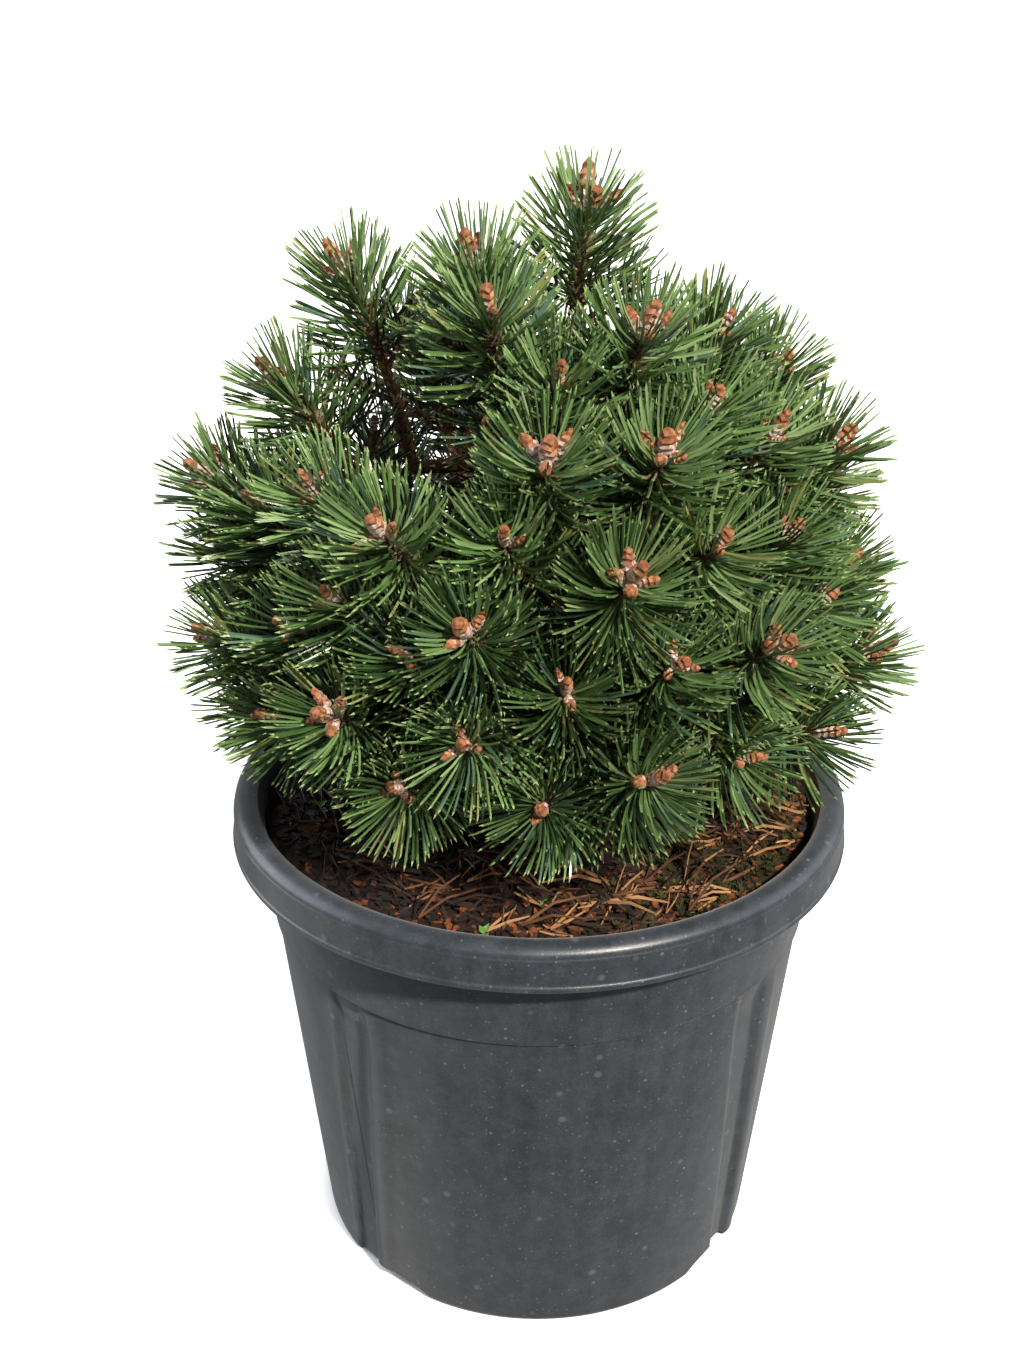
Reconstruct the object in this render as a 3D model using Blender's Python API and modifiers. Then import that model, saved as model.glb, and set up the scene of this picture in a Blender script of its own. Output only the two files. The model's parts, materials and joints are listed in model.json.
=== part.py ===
"""A young mugo pine in a moulded nursery pot: pot, potting soil, short stem, boughs and masses of needles.

Metres, +Z up. The origin is the middle of the pot's flat underside. The front of the plant faces -Y.
"""
import math
from random import Random

import bmesh
import bpy
import numpy as np
from mathutils import Quaternion, Vector, noise

# The pot: a 12 litre container, moulded in one piece, with a turned down lip
LIP_RADIUS = 0.150
POT_HEIGHT = 0.2462
FOOT_RADIUS = 0.1127
WALL_TOP_RADIUS = 0.1313
WALL_TOP = 0.1831
COLLAR_RADIUS = 0.1320
COLLAR_TOP_RADIUS = 0.1370
LIP_DROP = 0.0210
LIP_ROUND = 0.0045
WALL = 0.0024
FLOOR = 0.0045
QUARTERS = 4
PANEL_DEPTHS = (0.0022, 0.0004)
PANEL_SKEW = 0.70
GROOVE_ANGLE = -41.75
GROOVE_WIDTH = 7.0
GROOVE_DEPTH = 0.0028
RIB_WIDTH = 6.0
EDGE_WIDTH = 1.5
STEPS_IN_A_QUARTER = 15
NOTCH_ANGLE = -38.5
NOTCH_HALF_WIDTH = 0.019
NOTCH_HEIGHT = 0.008
NOTCH_START = 0.096

# The soil: filled to a little below the lip, with a low uneven dome
GAP = 0.0003
SOIL_EDGE = 0.2345
SOIL_CROWN = 0.2415
SOIL_LUMP = 0.0030
LUMPS = 45
STEM_BED = 0.032

# The stem: short, leaning, hidden by the boughs
STEM_FOOT = Vector((0.004, 0.002, SOIL_CROWN + GAP))
STEM_FORK = Vector((0.008, 0.000, 0.272))
FLARE_RADIUS = 0.027
STEM_RADIUS = 0.0150

# The crown: the buds lie on an egg shape round its middle
CROWN_RADIUS = 0.144
CROWN_RISE = 0.190
CROWN_MIDDLE = 0.330
LOWEST_BUD = 0.305
HIGHEST_SIDE_BUD = 0.472
BUD_SPACING = 0.052
SIDE_DEPTH = 0.010
SETTLING_ROUNDS = 12
SETTLING_PUSH = 0.25
FURTHEST_SIDE = 1.15

# Each mass: name, angle of its leader from the front, height of that bud and how far it stands out of the
# egg shape, number of side shoots, turn of the first round the leader and from each to the next
MAIN_MASSES = (
    ("top", 90, 0.5185, 0, 0, 0, 0),
    ("left", -88, 0.402, 0.014, 2, 95, 70),
    ("front_left", -12.4, 0.385, 0.004, 2, 110, 250),
    ("front_right", 40, 0.365, 0.002, 2, 75, 150),
    ("right", 74, 0.426, 0.004, 4, 60, 90),
)
SIDE_MASSES = (
    ("upper_left", -17, 0.492, 0, 0, 0, 0),
    ("upper_right", 27, 0.484, 0, 1, 215, 0),
    ("crest", -30, 0.505, 0, 0, 0, 0),
    ("horn", -98, 0.490, 0.009, 0, 0, 0),
    ("left_high", -87, 0.446, 0, 0, 0, 0),
    ("middle", 0, 0.446, 0, 1, 265, 0),
    ("middle_right", 22.6, 0.446, 0.004, 2, 130, 90),
    ("left_front", -29.5, 0.415, 0, 1, 28, 0),
    ("centre", 13.4, 0.404, 0.004, 1, 330, 0),
    ("low_left", -36.7, 0.338, 0, 3, 137, 100),
    ("low_front", 17, 0.320, 0, 3, 295, 32),
    ("low_right", 78, 0.327, 0.006, 3, 85, 95),
    ("low_left_outer", -78, 0.336, 0.004, 3, 100, 90),
)
# The far side, which repeats by rule: height of the first and last leader, how many, first angle, number of
# side shoots on each, and how much further round they start on each next one
BACK_MAIN_ROW = (0.405, 0.350, 3, 122, 3, 45)
BACK_SIDE_ROWS = ((0.448, 0.440, 2, 148, 2, 285), (0.325, 0.320, 3, 108, 3, 45))
BACK_FAN = 120

# Limbs and shoots
BOUGH_RADIUS = 0.0056
LIMB_RADIUS = 0.0042
LIMB_TIP_RADIUS = 0.0032
LIMB_SHARE = 0.60
LIMB_PULL = 0.42
LIMB_POINTS = 5
BOUGH_RISE = 0.8
LIMB_AHEAD = 0.7
LOWEST_FORK = 0.42
STEM_TO_WHORL = 0.010
WHORL_STEP = 0.0013
SHOOT_RADIUS = 0.0026
TIP_RADIUS = 0.0018
SHOOT_PULL = 0.45
SHOOT_POINTS = 30
LEAST_BARE = 0.15
SHOOT_CLEARANCE = 0.0015
BUD_LENGTH = 0.012
UPWARD = 0.65
NEEDLED_LENGTH = 0.040
NEEDLE_BANDS = 5
BAND_TWIST = 45
NEEDLE_LENGTH = 0.037
NEEDLE_LEAST = 0.012
NEEDLE_FOOT = 1.3
LOWEST_LEAN = 80
HIGHEST_LEAN = 38
LIMB_CLEARANCE = 0.001
CLEARANCE = 0.0005
CAP_MERGE = 0.00001
FUSED_MERGE = 0.0000001
SEED = 7


def paint(name, colour, roughness):
    """Make a material of one colour, given as linear RGB."""
    material = bpy.data.materials.new(name)
    material.use_nodes = True
    shader = material.node_tree.nodes["Principled BSDF"]
    shader.inputs["Base Color"].default_value = (*colour, 1)
    shader.inputs["Roughness"].default_value = roughness
    shader.inputs["Metallic"].default_value = 0
    return material


def mesh_of(obj, merge):
    """Return an object's evaluated mesh, with points closer than merge made one, and remove the object."""
    bpy.context.view_layer.update()
    depsgraph = bpy.context.evaluated_depsgraph_get()
    mesh = bpy.data.meshes.new_from_object(obj.evaluated_get(depsgraph), depsgraph=depsgraph)
    mesh.transform(obj.matrix_world)
    bpy.data.objects.remove(obj)
    bm = bmesh.new()
    bm.from_mesh(mesh)
    bmesh.ops.remove_doubles(bm, verts=bm.verts, dist=merge)
    bm.to_mesh(mesh)
    bm.free()
    return mesh


def add(name, data, collection, material):
    obj = bpy.data.objects.new(name, data)
    data.materials.clear()
    data.materials.append(material)
    collection.objects.link(obj)
    return obj


# The pot and its soil

def column_angles():
    """Angles of the wall's upright columns: close together at each groove and rib, even across the panels."""
    half = GROOVE_WIDTH / 2
    groove = [-half - EDGE_WIDTH, -half, half, half + EDGE_WIDTH, half + RIB_WIDTH]
    rest = STEPS_IN_A_QUARTER - len(groove)
    start, end = groove[-1], 360 / QUARTERS + groove[0]
    panel = [start + (end - start) * (i + 1) / (rest + 1) for i in range(rest)]
    quarter = [GROOVE_ANGLE + angle for angle in groove + panel]
    return [angle + 360 / QUARTERS * k for k in range(QUARTERS) for angle in quarter]


def recess(angle, height):
    """How far the wall lies inside its cone, at an angle from the front. Panels fade towards the foot."""
    if height > WALL_TOP:
        return 0
    half = GROOVE_WIDTH / 2
    quarter, turn = divmod((angle - GROOVE_ANGLE + half + EDGE_WIDTH) % 360, 360 / QUARTERS)
    groove_end = 2 * half + 2 * EDGE_WIDTH
    if turn < groove_end:
        side = min(turn, groove_end - turn) / EDGE_WIDTH
        return GROOVE_DEPTH * min(side, 1)
    panel = (turn - groove_end - RIB_WIDTH) / (360 / QUARTERS - groove_end - RIB_WIDTH)
    if panel < 0:
        return 0
    depth = PANEL_DEPTHS[int(quarter) % 2] * height / WALL_TOP
    return depth * math.sin(math.pi * panel ** PANEL_SKEW) ** 2


def turned(name, profile, collection, material, shape):
    """Turn a profile round Z, set its columns at the wall's angles and give each point its last shape."""
    mesh = bpy.data.meshes.new(name)
    mesh.from_pydata([(r, 0, z) for r, z in profile], [(i, i + 1) for i in range(len(profile) - 1)], [])
    obj = add(name, mesh, collection, material)
    steps = STEPS_IN_A_QUARTER * QUARTERS
    screw = obj.modifiers.new("turn", "SCREW")
    screw.angle = math.tau
    screw.steps = screw.render_steps = steps
    screw.use_merge_vertices = True
    screw.merge_threshold = 0.00001
    mesh = mesh_of(obj, CAP_MERGE)
    columns = column_angles()
    for vertex in mesh.vertices:
        radius, height = math.hypot(vertex.co.x, vertex.co.y), vertex.co.z
        column = round(math.atan2(vertex.co.y, vertex.co.x) / math.tau * steps) % steps
        radius, height = shape(columns[column], radius, height)
        turn = math.radians(columns[column] - 90)
        vertex.co = (radius * math.cos(turn), radius * math.sin(turn), height)
    return add(name, mesh, collection, material)


def wall_radius(height):
    """Radius of the wall's outside cone at a height below the collar."""
    return FOOT_RADIUS + (WALL_TOP_RADIUS - FOOT_RADIUS) * height / WALL_TOP


def moulded(angle, radius, height):
    """Sink a point of the wall, inside or outside, by the panel or groove at its angle."""
    return radius - recess(angle, height) * min(1, radius / FOOT_RADIUS), height


def inner_profile(gap, sunk):
    """The inside of the pot's collar and wall, top to bottom, less a gap and how far the wall is sunk."""
    under = WALL_TOP - 2 * WALL
    return [
        (COLLAR_RADIUS - WALL - gap, WALL_TOP + WALL),
        (wall_radius(under) - WALL - gap - sunk, under),
        (wall_radius(FLOOR) - WALL - gap - sunk, FLOOR + gap),
    ]


def pot(collection, material):
    """The pot, one moulded shell: floor, wall with panels and grooves, collar and turned down lip."""
    lip_foot = POT_HEIGHT - LIP_DROP
    lip_inside = LIP_RADIUS - WALL
    crease = POT_HEIGHT - WALL
    ring = (LIP_RADIUS + COLLAR_TOP_RADIUS - WALL) / 2
    outside = [
        (ring - LIP_ROUND, POT_HEIGHT - 0.0008),
        (ring, POT_HEIGHT),
        (LIP_RADIUS - LIP_ROUND, POT_HEIGHT - 0.0010),
        (LIP_RADIUS - 0.0018, crease - 0.0010),
        (LIP_RADIUS, lip_foot + 0.0008),
        (LIP_RADIUS - 0.0010, lip_foot),
        (lip_inside, lip_foot + 0.0008),
        (lip_inside - 0.0015, crease - 0.0038),
        (COLLAR_TOP_RADIUS + 0.0020, crease - 0.0038),
        (COLLAR_TOP_RADIUS, lip_foot + 0.0060),
        (COLLAR_RADIUS, WALL_TOP + 0.0010),
        (wall_radius(WALL_TOP), WALL_TOP),
        (FOOT_RADIUS, 0.0025),
        (FOOT_RADIUS - 0.0020, 0),
        (0, 0),
    ]
    inside = inner_profile(0, 0)[::-1] + [(COLLAR_TOP_RADIUS - WALL, POT_HEIGHT - 2 * WALL)]
    profile = [(0, FLOOR)] + inside + outside
    shell = turned("pot", profile, collection, material, moulded)
    cutters = bpy.data.collections.new("cutters")
    bpy.context.scene.collection.children.link(cutters)
    reach = FOOT_RADIUS + 0.010 - NOTCH_START
    for quarter in range(QUARTERS):
        turn = math.radians(NOTCH_ANGLE + 360 / QUARTERS * quarter - 90)
        bpy.ops.mesh.primitive_cylinder_add(vertices=16, radius=1, depth=reach)
        notch = bpy.context.object
        notch.name = f"notch_{quarter}"
        notch.scale = (NOTCH_HEIGHT, NOTCH_HALF_WIDTH, 1)
        outward = NOTCH_START + reach / 2
        notch.location = (outward * math.cos(turn), outward * math.sin(turn), 0)
        notch.rotation_euler = (0, math.pi / 2, turn)
        notch.hide_render = True
        notch.display_type = "WIRE"
        for home in notch.users_collection:
            home.objects.unlink(notch)
        cutters.objects.link(notch)
        cut = shell.modifiers.new(notch.name, "BOOLEAN")
        cut.operation = "DIFFERENCE"
        cut.object = notch
    shell.data.shade_smooth()
    shell.data.set_sharp_from_angle(angle=math.radians(30))
    return shell


def heaped(angle, radius, height):
    """Shape the soil's top: flat where the stem stands, then a low dome with lumps, lower at the wall."""
    if height < SOIL_EDGE:
        return radius, height
    out = min(max((radius - STEM_BED) / (COLLAR_TOP_RADIUS - STEM_BED), 0), 1)
    turn = math.radians(angle)
    place = Vector((radius * math.cos(turn), radius * math.sin(turn), 0))
    lump = noise.noise(place * LUMPS) * SOIL_LUMP * min(1, 4 * out)
    return radius, SOIL_CROWN + (SOIL_EDGE - SOIL_CROWN) * out ** 2 + lump


def soil(collection, material):
    """The potting soil, which fills the pot and bears the stem."""
    edge = COLLAR_TOP_RADIUS - WALL - 0.0015
    rings = [(STEM_BED + (edge - STEM_BED) * i / 3, SOIL_EDGE) for i in range(4)]
    wall = inner_profile(GAP, GROOVE_DEPTH)
    profile = [(0, SOIL_CROWN)] + rings + wall + [(0, FLOOR + GAP)]
    return turned("soil", profile, collection, material, heaped)


# The plan of the crown

def on_crown(angle, height, proud=0):
    """A place on the crown's egg shape, or proud of it, at an angle from the front and a height."""
    level = (height - CROWN_MIDDLE) / CROWN_RISE
    reach = CROWN_RADIUS * math.sqrt(max(0, 1 - level * level)) + proud
    turn = math.radians(angle - 90)
    return Vector((reach * math.cos(turn), reach * math.sin(turn), height))


def level_of(point):
    """The reach of the egg shape on which a place lies."""
    return Vector((point.x, point.y, (point.z - CROWN_MIDDLE) * CROWN_RADIUS / CROWN_RISE)).length


def onto_crown(point, reach):
    """Move a side bud's point straight to the egg shape of a reach, between its lowest and highest."""
    height = min(max(point.z, LOWEST_BUD), HIGHEST_SIDE_BUD)
    offset = Vector((point.x, point.y, (height - CROWN_MIDDLE) * CROWN_RADIUS / CROWN_RISE))
    offset *= reach / offset.length
    return Vector((offset.x, offset.y, CROWN_MIDDLE + offset.z * CROWN_RISE / CROWN_RADIUS))


def outward(point):
    """The direction straight out of the crown at a place on it."""
    rise = (point.z - CROWN_MIDDLE) * (CROWN_RADIUS / CROWN_RISE) ** 2
    return Vector((point.x, point.y, rise)).normalized()


def shoot_axis(point):
    """The direction in which a bud points: out of the crown, and turned up towards the light."""
    return (outward(point) + Vector((0, 0, UPWARD))).normalized()


def mass_plan():
    """Every mass: name, leader's place, side shoots, their turn and fan, and if it is a main one."""
    rows = [(*row, True) for row in MAIN_MASSES] + [(*row, False) for row in SIDE_MASSES]
    for label, row in zip(("back", "back_high", "back_low"), (BACK_MAIN_ROW, *BACK_SIDE_ROWS)):
        first_height, last_height, count, first, shoots, step = row
        for i in range(count):
            share = i / (count - 1)
            angle = first + (360 - 2 * first) * share
            height = first_height + (last_height - first_height) * share
            name = f"{label}_{i}"
            rows.append((name, angle, height, 0, shoots, step * i, BACK_FAN, row is BACK_MAIN_ROW))
    return [(row[0], on_crown(*row[1:4]), *row[4:]) for row in rows]


def spread_buds(plan):
    """Place each mass's buds: the leader first, then side buds round it, lower and settled apart."""
    buds = []
    for index, (_, leader, shoots, turn, fan, _) in enumerate(plan):
        out, reach = outward(leader), level_of(leader) - SIDE_DEPTH
        across = out.cross(Vector((0, 0, 1))).normalized()
        buds.append([index, leader, None])
        for k in range(shoots):
            swing = Quaternion(out, math.radians(turn + fan * k))
            buds.append([index, onto_crown(leader + swing @ across * BUD_SPACING, reach), reach])
    for _ in range(SETTLING_ROUNDS):
        for bud in buds:
            if bud[2] is None:
                continue
            push = Vector()
            for other in buds:
                away = bud[1] - other[1]
                if other is not bud and away.length < BUD_SPACING:
                    push += away.normalized() * (BUD_SPACING - away.length) * SETTLING_PUSH
            home = plan[bud[0]][1] - bud[1]
            push += home.normalized() * max(0, home.length - BUD_SPACING * FURTHEST_SIDE) * 0.5
            bud[1] = onto_crown(bud[1] + push, bud[2])
    return [[bud[1] for bud in buds if bud[0] == index] for index in range(len(plan))]


def bend(start, direction, end, pull, count):
    """Points on a curve that leaves start in a direction and bends to its end."""
    middle = start + direction * (end - start).length * pull
    steps = [i / (count - 1) for i in range(count)]
    return [start.lerp(middle, t).lerp(middle.lerp(end, t), t) for t in steps]


def arrive(start, end, direction, pull, count):
    """Points on a curve that reaches its end in a direction."""
    return bend(end, -direction, start, pull, count)[::-1]


def along(points, share):
    """The place and the direction at a share of the way along a line of points."""
    place = share * (len(points) - 1)
    index = min(int(place), len(points) - 2)
    start, end = points[index], points[index + 1]
    return start.lerp(end, place - index), (end - start).normalized()


def shoot_course(start, bud):
    """A shoot's points: its bare foot, then a point at the end of each band of needles up to the bud."""
    curve = arrive(start, bud, shoot_axis(bud), SHOOT_PULL, SHOOT_POINTS)
    steps = [(b - a).length for a, b in zip(curve, curve[1:])]
    length = sum(steps)
    bare = max(length - NEEDLED_LENGTH, length * LEAST_BARE)
    marks = [bare + (length - bare) * i / NEEDLE_BANDS for i in range(NEEDLE_BANDS + 1)]
    points, run = [start], 0
    for a, b, step in zip(curve, curve[1:], steps):
        while marks and run + step >= marks[0] - 0.000001:
            points.append(a.lerp(b, (marks.pop(0) - run) / step))
        run += step
    return points


def limb_plan(plan):
    """The course and the radius of every bough and limb, each clear of what it grows from."""
    stem = (STEM_FORK - STEM_FOOT).normalized()
    main = [i for i, row in enumerate(plan) if row[-1]]
    limbs = {}
    for order, i in enumerate(main):
        end = STEM_FORK.lerp(plan[i][1], LIMB_SHARE)
        if order == 0:
            start, direction = STEM_FORK + stem * GAP, stem
        else:
            flat = Vector((end.x - STEM_FORK.x, end.y - STEM_FORK.y, 0)).normalized()
            direction = (flat + Vector((0, 0, BOUGH_RISE))).normalized()
            lean = BOUGH_RADIUS * direction.z
            start = STEM_FORK + flat * (STEM_RADIUS + GAP + lean + LIMB_CLEARANCE)
            start.z = STEM_FORK.z - 0.011 + 0.006 * (order % 2)
        limbs[i] = (bend(start, direction, end, LIMB_PULL, LIMB_POINTS), BOUGH_RADIUS)
    side = [i for i in range(len(plan)) if i not in main]
    parents = {i: min(main, key=lambda j: (plan[i][1] - plan[j][1]).length) for i in side}
    family = list(parents.values())
    for order, i in enumerate(side):
        parent = parents[i]
        share = LOWEST_FORK + (1 - LOWEST_FORK) * family[:order].count(parent) / family.count(parent)
        place, ahead = along(limbs[parent][0], share)
        end = STEM_FORK.lerp(plan[i][1], LIMB_SHARE)
        across = (end - place) - ahead * (end - place).dot(ahead)
        direction = (across.normalized() + ahead * LIMB_AHEAD).normalized()
        thick = BOUGH_RADIUS + (LIMB_TIP_RADIUS - BOUGH_RADIUS) * share
        start = place + across.normalized() * (thick + LIMB_RADIUS + GAP)
        limbs[i] = (bend(start, direction, end, LIMB_PULL, LIMB_POINTS), LIMB_RADIUS)
    return limbs


def shoot_plan(limb, buds):
    """The courses of a mass's shoots: the leader from the limb's tip, the others from the whorl on it."""
    tip, ahead = along(limb, 1)
    foot = tip + ahead * GAP
    whorl = foot + ahead * STEM_TO_WHORL
    leader = [foot] + shoot_course(whorl, buds[0])
    return [leader] + [shoot_course(whorl + ahead * WHORL_STEP * k, bud) for k, bud in enumerate(buds[1:])]


def clear_shoots(groups, limbs):
    """Skip each side shoot that would touch a limb or a shoot of another mass."""
    rods = [[rod_rows(points) for points in group] for group in groups]
    kept = []
    for i, group in enumerate(groups):
        others = [row for j, other in enumerate(rods) if j != i for row in other]
        others = np.concatenate([limbs, *others])
        keep = [0]
        for k in range(1, len(group)):
            places = np.array([along(group[k], share)[0] for share in np.linspace(0.1, 1, 25)])
            if (distances(places, others) - others[:, 6]).min() > SHOOT_RADIUS + SHOOT_CLEARANCE:
                keep.append(k)
        rods[i] = [rods[i][k] for k in keep]
        kept.append([group[k] for k in keep])
    return kept, rods


# Limbs and needles

def rod(name, points, radii, collection, material, resolution=1, twist=0):
    """A round tapering limb through points, closed at both ends, its facets turned at each point."""
    curve = bpy.data.curves.new(name, "CURVE")
    curve.dimensions = "3D"
    curve.bevel_depth = 1
    curve.bevel_resolution = resolution
    curve.use_fill_caps = True
    curve.twist_mode = "MINIMUM"
    spline = curve.splines.new("POLY")
    spline.points.add(len(points) - 1)
    for index, control in enumerate(spline.points):
        control.co = (*points[index], 1)
        control.radius = radii[index]
        control.tilt = math.radians(twist) * index
    return add(name, curve, collection, material)


def taper(start, end, count):
    return [start + (end - start) * i / (count - 1) for i in range(count)]


def segments(points, radii):
    """The straight pieces of a limb as rows: start, end and the larger radius."""
    rows = [(*a, *b, max(ra, rb)) for a, b, ra, rb in zip(points, points[1:], radii, radii[1:])]
    return np.array(rows)


def rod_rows(points):
    return segments(points, [SHOOT_RADIUS] * len(points))


def distances(places, rows):
    """Distance from each of many places to each of many straight pieces."""
    starts, ends = rows[:, :3], rows[:, 3:6]
    run = ends - starts
    offset = places[:, None, :] - starts[None]
    share = np.clip((offset * run).sum(-1) / (run * run).sum(-1), 0, 1)
    return np.linalg.norm(offset - share[..., None] * run, axis=-1)


def needle_reach(foot, direction, length, width, own, others, limbs):
    """How long a needle may be and still keep to its own shoot's side, clear of limbs, lip and soil."""
    shares = np.linspace(0.1, 1, 14)
    places = np.array(foot)[None] + shares[:, None] * length * np.array(direction)[None]
    half = width * (1 - shares) + CLEARANCE
    near = distances(places, own).min(1)
    free = (distances(places, others).min(1) - near) / 2 > half
    free &= (distances(places, limbs) - limbs[:, 6]).min(1) > half + LIMB_CLEARANCE
    flat = np.hypot(places[:, 0], places[:, 1])
    floor = np.where(flat < COLLAR_TOP_RADIUS - 0.006, SOIL_CROWN + 0.003, POT_HEIGHT + 0.001)
    free &= (places[:, 2] - half > floor) | (flat - half > LIP_RADIUS + 0.001)
    stop = len(free) if free.all() else int(np.argmin(free))
    return shares[stop - 1] * length if stop else 0


def grow_needles(mesh, points, own, others, limbs, random):
    """Draw needles out of the faces of a shoot's upper part, leaning further forward nearer the bud."""
    tip, ahead = along(points, 1)
    bm = bmesh.new()
    bm.from_mesh(mesh)
    ends = [face for face in bm.faces if len(face.verts) == 4 and abs(face.normal.dot(ahead)) > 0.95]
    crown = [face for face in ends if (face.calc_center_median() - tip).length < TIP_RADIUS]
    bud = bmesh.ops.poke(bm, faces=crown)["verts"]
    for vertex in bud:
        vertex.co += ahead * BUD_LENGTH
    bmesh.ops.triangulate(bm, faces=[face for face in bm.faces if len(face.verts) > 3])
    width = SHOOT_RADIUS * NEEDLE_FOOT
    needled = []
    for face in bm.faces:
        centre = face.calc_center_median()
        height = (tip - centre).dot(ahead)
        if not 0.001 < height < NEEDLED_LENGTH or face.normal.dot(ahead) > 0.6:
            continue
        if any(vertex in bud for vertex in face.verts):
            continue
        radial = (face.normal - ahead * face.normal.dot(ahead)).normalized()
        share = height / NEEDLED_LENGTH
        lean = math.radians(HIGHEST_LEAN + (LOWEST_LEAN - HIGHEST_LEAN) * share + random.uniform(-5, 5))
        direction = ahead * math.cos(lean) + radial * math.sin(lean)
        length = NEEDLE_LENGTH * random.uniform(0.90, 1.08)
        reach = needle_reach(centre, direction, length, width, own, others, limbs)
        if reach > NEEDLE_LEAST:
            needled.append((face, centre + direction * reach))
    for face, point in needled:
        vertex = bmesh.ops.poke(bm, faces=[face])["verts"][0]
        vertex.co = point
    bm.to_mesh(mesh)
    bm.free()


def mass(name, shoots, own_rows, others, limbs, collection, material, random):
    """One mass of foliage: a leader with side shoots, each in its needles, fused into one solid."""
    loose = bpy.data.collections.new(f"{name}_shoots")
    bpy.context.scene.collection.children.link(loose)
    pieces = []
    for k, points in enumerate(shoots):
        radii = [SHOOT_RADIUS] * (len(points) - 1) + [TIP_RADIUS]
        if k == 0:
            radii[0] = LIMB_TIP_RADIUS
        twig = rod(f"{name}_shoot_{k}", points, radii, loose, material, 0, BAND_TWIST)
        mesh = mesh_of(twig, CAP_MERGE)
        own = own_rows[k]
        mates = [rows for j, rows in enumerate(own_rows) if j != k]
        near = np.concatenate([others] + mates)
        grow_needles(mesh, points, own, near, limbs, random)
        pieces.append(add(f"{name}_shoot_{k}", mesh, loose, material))
    leader = pieces[0]
    loose.objects.unlink(leader)
    collection.objects.link(leader)
    if len(pieces) > 1:
        fuse = leader.modifiers.new("fuse", "BOOLEAN")
        fuse.operation = "UNION"
        fuse.operand_type = "COLLECTION"
        fuse.collection = loose
    mesh = mesh_of(leader, FUSED_MERGE)
    for piece in list(loose.objects):
        bpy.data.objects.remove(piece)
    bpy.data.collections.remove(loose)
    return add(name, mesh, collection, material)


def build():
    for obj in list(bpy.data.objects):
        bpy.data.objects.remove(obj)
    plant = bpy.data.collections.new("mugo_pine")
    bpy.context.scene.collection.children.link(plant)
    plastic = paint("moulded_plastic", (0.045, 0.052, 0.060), 0.45)
    earth = paint("potting_soil", (0.085, 0.045, 0.022), 0.95)
    bark = paint("bark", (0.075, 0.048, 0.032), 0.90)
    green = paint("needles", (0.045, 0.120, 0.030), 0.55)

    pot(plant, plastic)
    soil(plant, earth)
    lift = (STEM_FORK - STEM_FOOT).normalized()
    flare = [STEM_FOOT, STEM_FOOT + Vector((0, 0, 0.004)), STEM_FOOT + Vector((0, 0, 0.012))]
    stem = flare + [STEM_FORK - lift * 0.006, STEM_FORK]
    girth = [FLARE_RADIUS, FLARE_RADIUS * 0.80, STEM_RADIUS * 1.12, STEM_RADIUS, STEM_RADIUS * 0.8]
    rod("trunk", stem, girth, plant, bark, 2)

    plan = mass_plan()
    buds = spread_buds(plan)
    limbs = limb_plan(plan)
    solid = [segments(stem, girth)]
    for i, (points, radius) in limbs.items():
        radii = taper(radius, LIMB_TIP_RADIUS, len(points))
        kind = "bough" if plan[i][-1] else "limb"
        rod(f"{kind}_{plan[i][0]}", points, radii, plant, bark)
        solid.append(segments(points, radii))
    solid = np.concatenate(solid)

    groups = [shoot_plan(limbs[i][0], buds[i]) for i in range(len(plan))]
    groups, rods = clear_shoots(groups, solid)
    random = Random(SEED)
    for i, group in enumerate(groups):
        needled = [[row[-NEEDLE_BANDS:] for row in rows] for rows in rods]
        others = np.concatenate([row for j, rows in enumerate(needled) if j != i for row in rows])
        bare = np.concatenate([solid] + [row for j, rows in enumerate(rods) if j != i for row in rows])
        mass(f"foliage_{plan[i][0]}", group, needled[i], others, bare, plant, green, random)


build()
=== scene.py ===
import json
import math
from random import Random

import bmesh
import bpy
import numpy as np
from mathutils import Matrix, Quaternion, Vector, noise

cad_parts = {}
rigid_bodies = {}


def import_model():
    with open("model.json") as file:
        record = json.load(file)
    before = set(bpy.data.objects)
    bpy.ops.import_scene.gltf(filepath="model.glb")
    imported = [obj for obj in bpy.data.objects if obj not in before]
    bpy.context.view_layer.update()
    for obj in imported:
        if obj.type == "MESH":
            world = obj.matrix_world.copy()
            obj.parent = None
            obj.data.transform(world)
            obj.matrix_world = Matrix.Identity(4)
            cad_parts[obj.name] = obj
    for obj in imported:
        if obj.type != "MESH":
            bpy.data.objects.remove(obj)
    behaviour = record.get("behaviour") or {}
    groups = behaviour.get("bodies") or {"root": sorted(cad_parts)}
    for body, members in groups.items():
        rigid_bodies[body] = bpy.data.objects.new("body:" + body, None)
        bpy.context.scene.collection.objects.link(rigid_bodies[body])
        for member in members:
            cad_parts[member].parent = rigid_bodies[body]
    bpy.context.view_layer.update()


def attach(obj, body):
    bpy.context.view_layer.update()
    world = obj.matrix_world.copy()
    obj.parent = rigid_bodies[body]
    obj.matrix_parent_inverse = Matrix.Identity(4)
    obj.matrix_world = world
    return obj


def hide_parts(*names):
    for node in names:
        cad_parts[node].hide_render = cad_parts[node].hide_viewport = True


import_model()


# The pot
# A 12 litre container of recycled polypropylene, moulded in one shell: a tapering wall with shallow panels
# and grooves, a collar, a rolled lip with a turned down skirt, and four drain notches in its foot.

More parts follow.
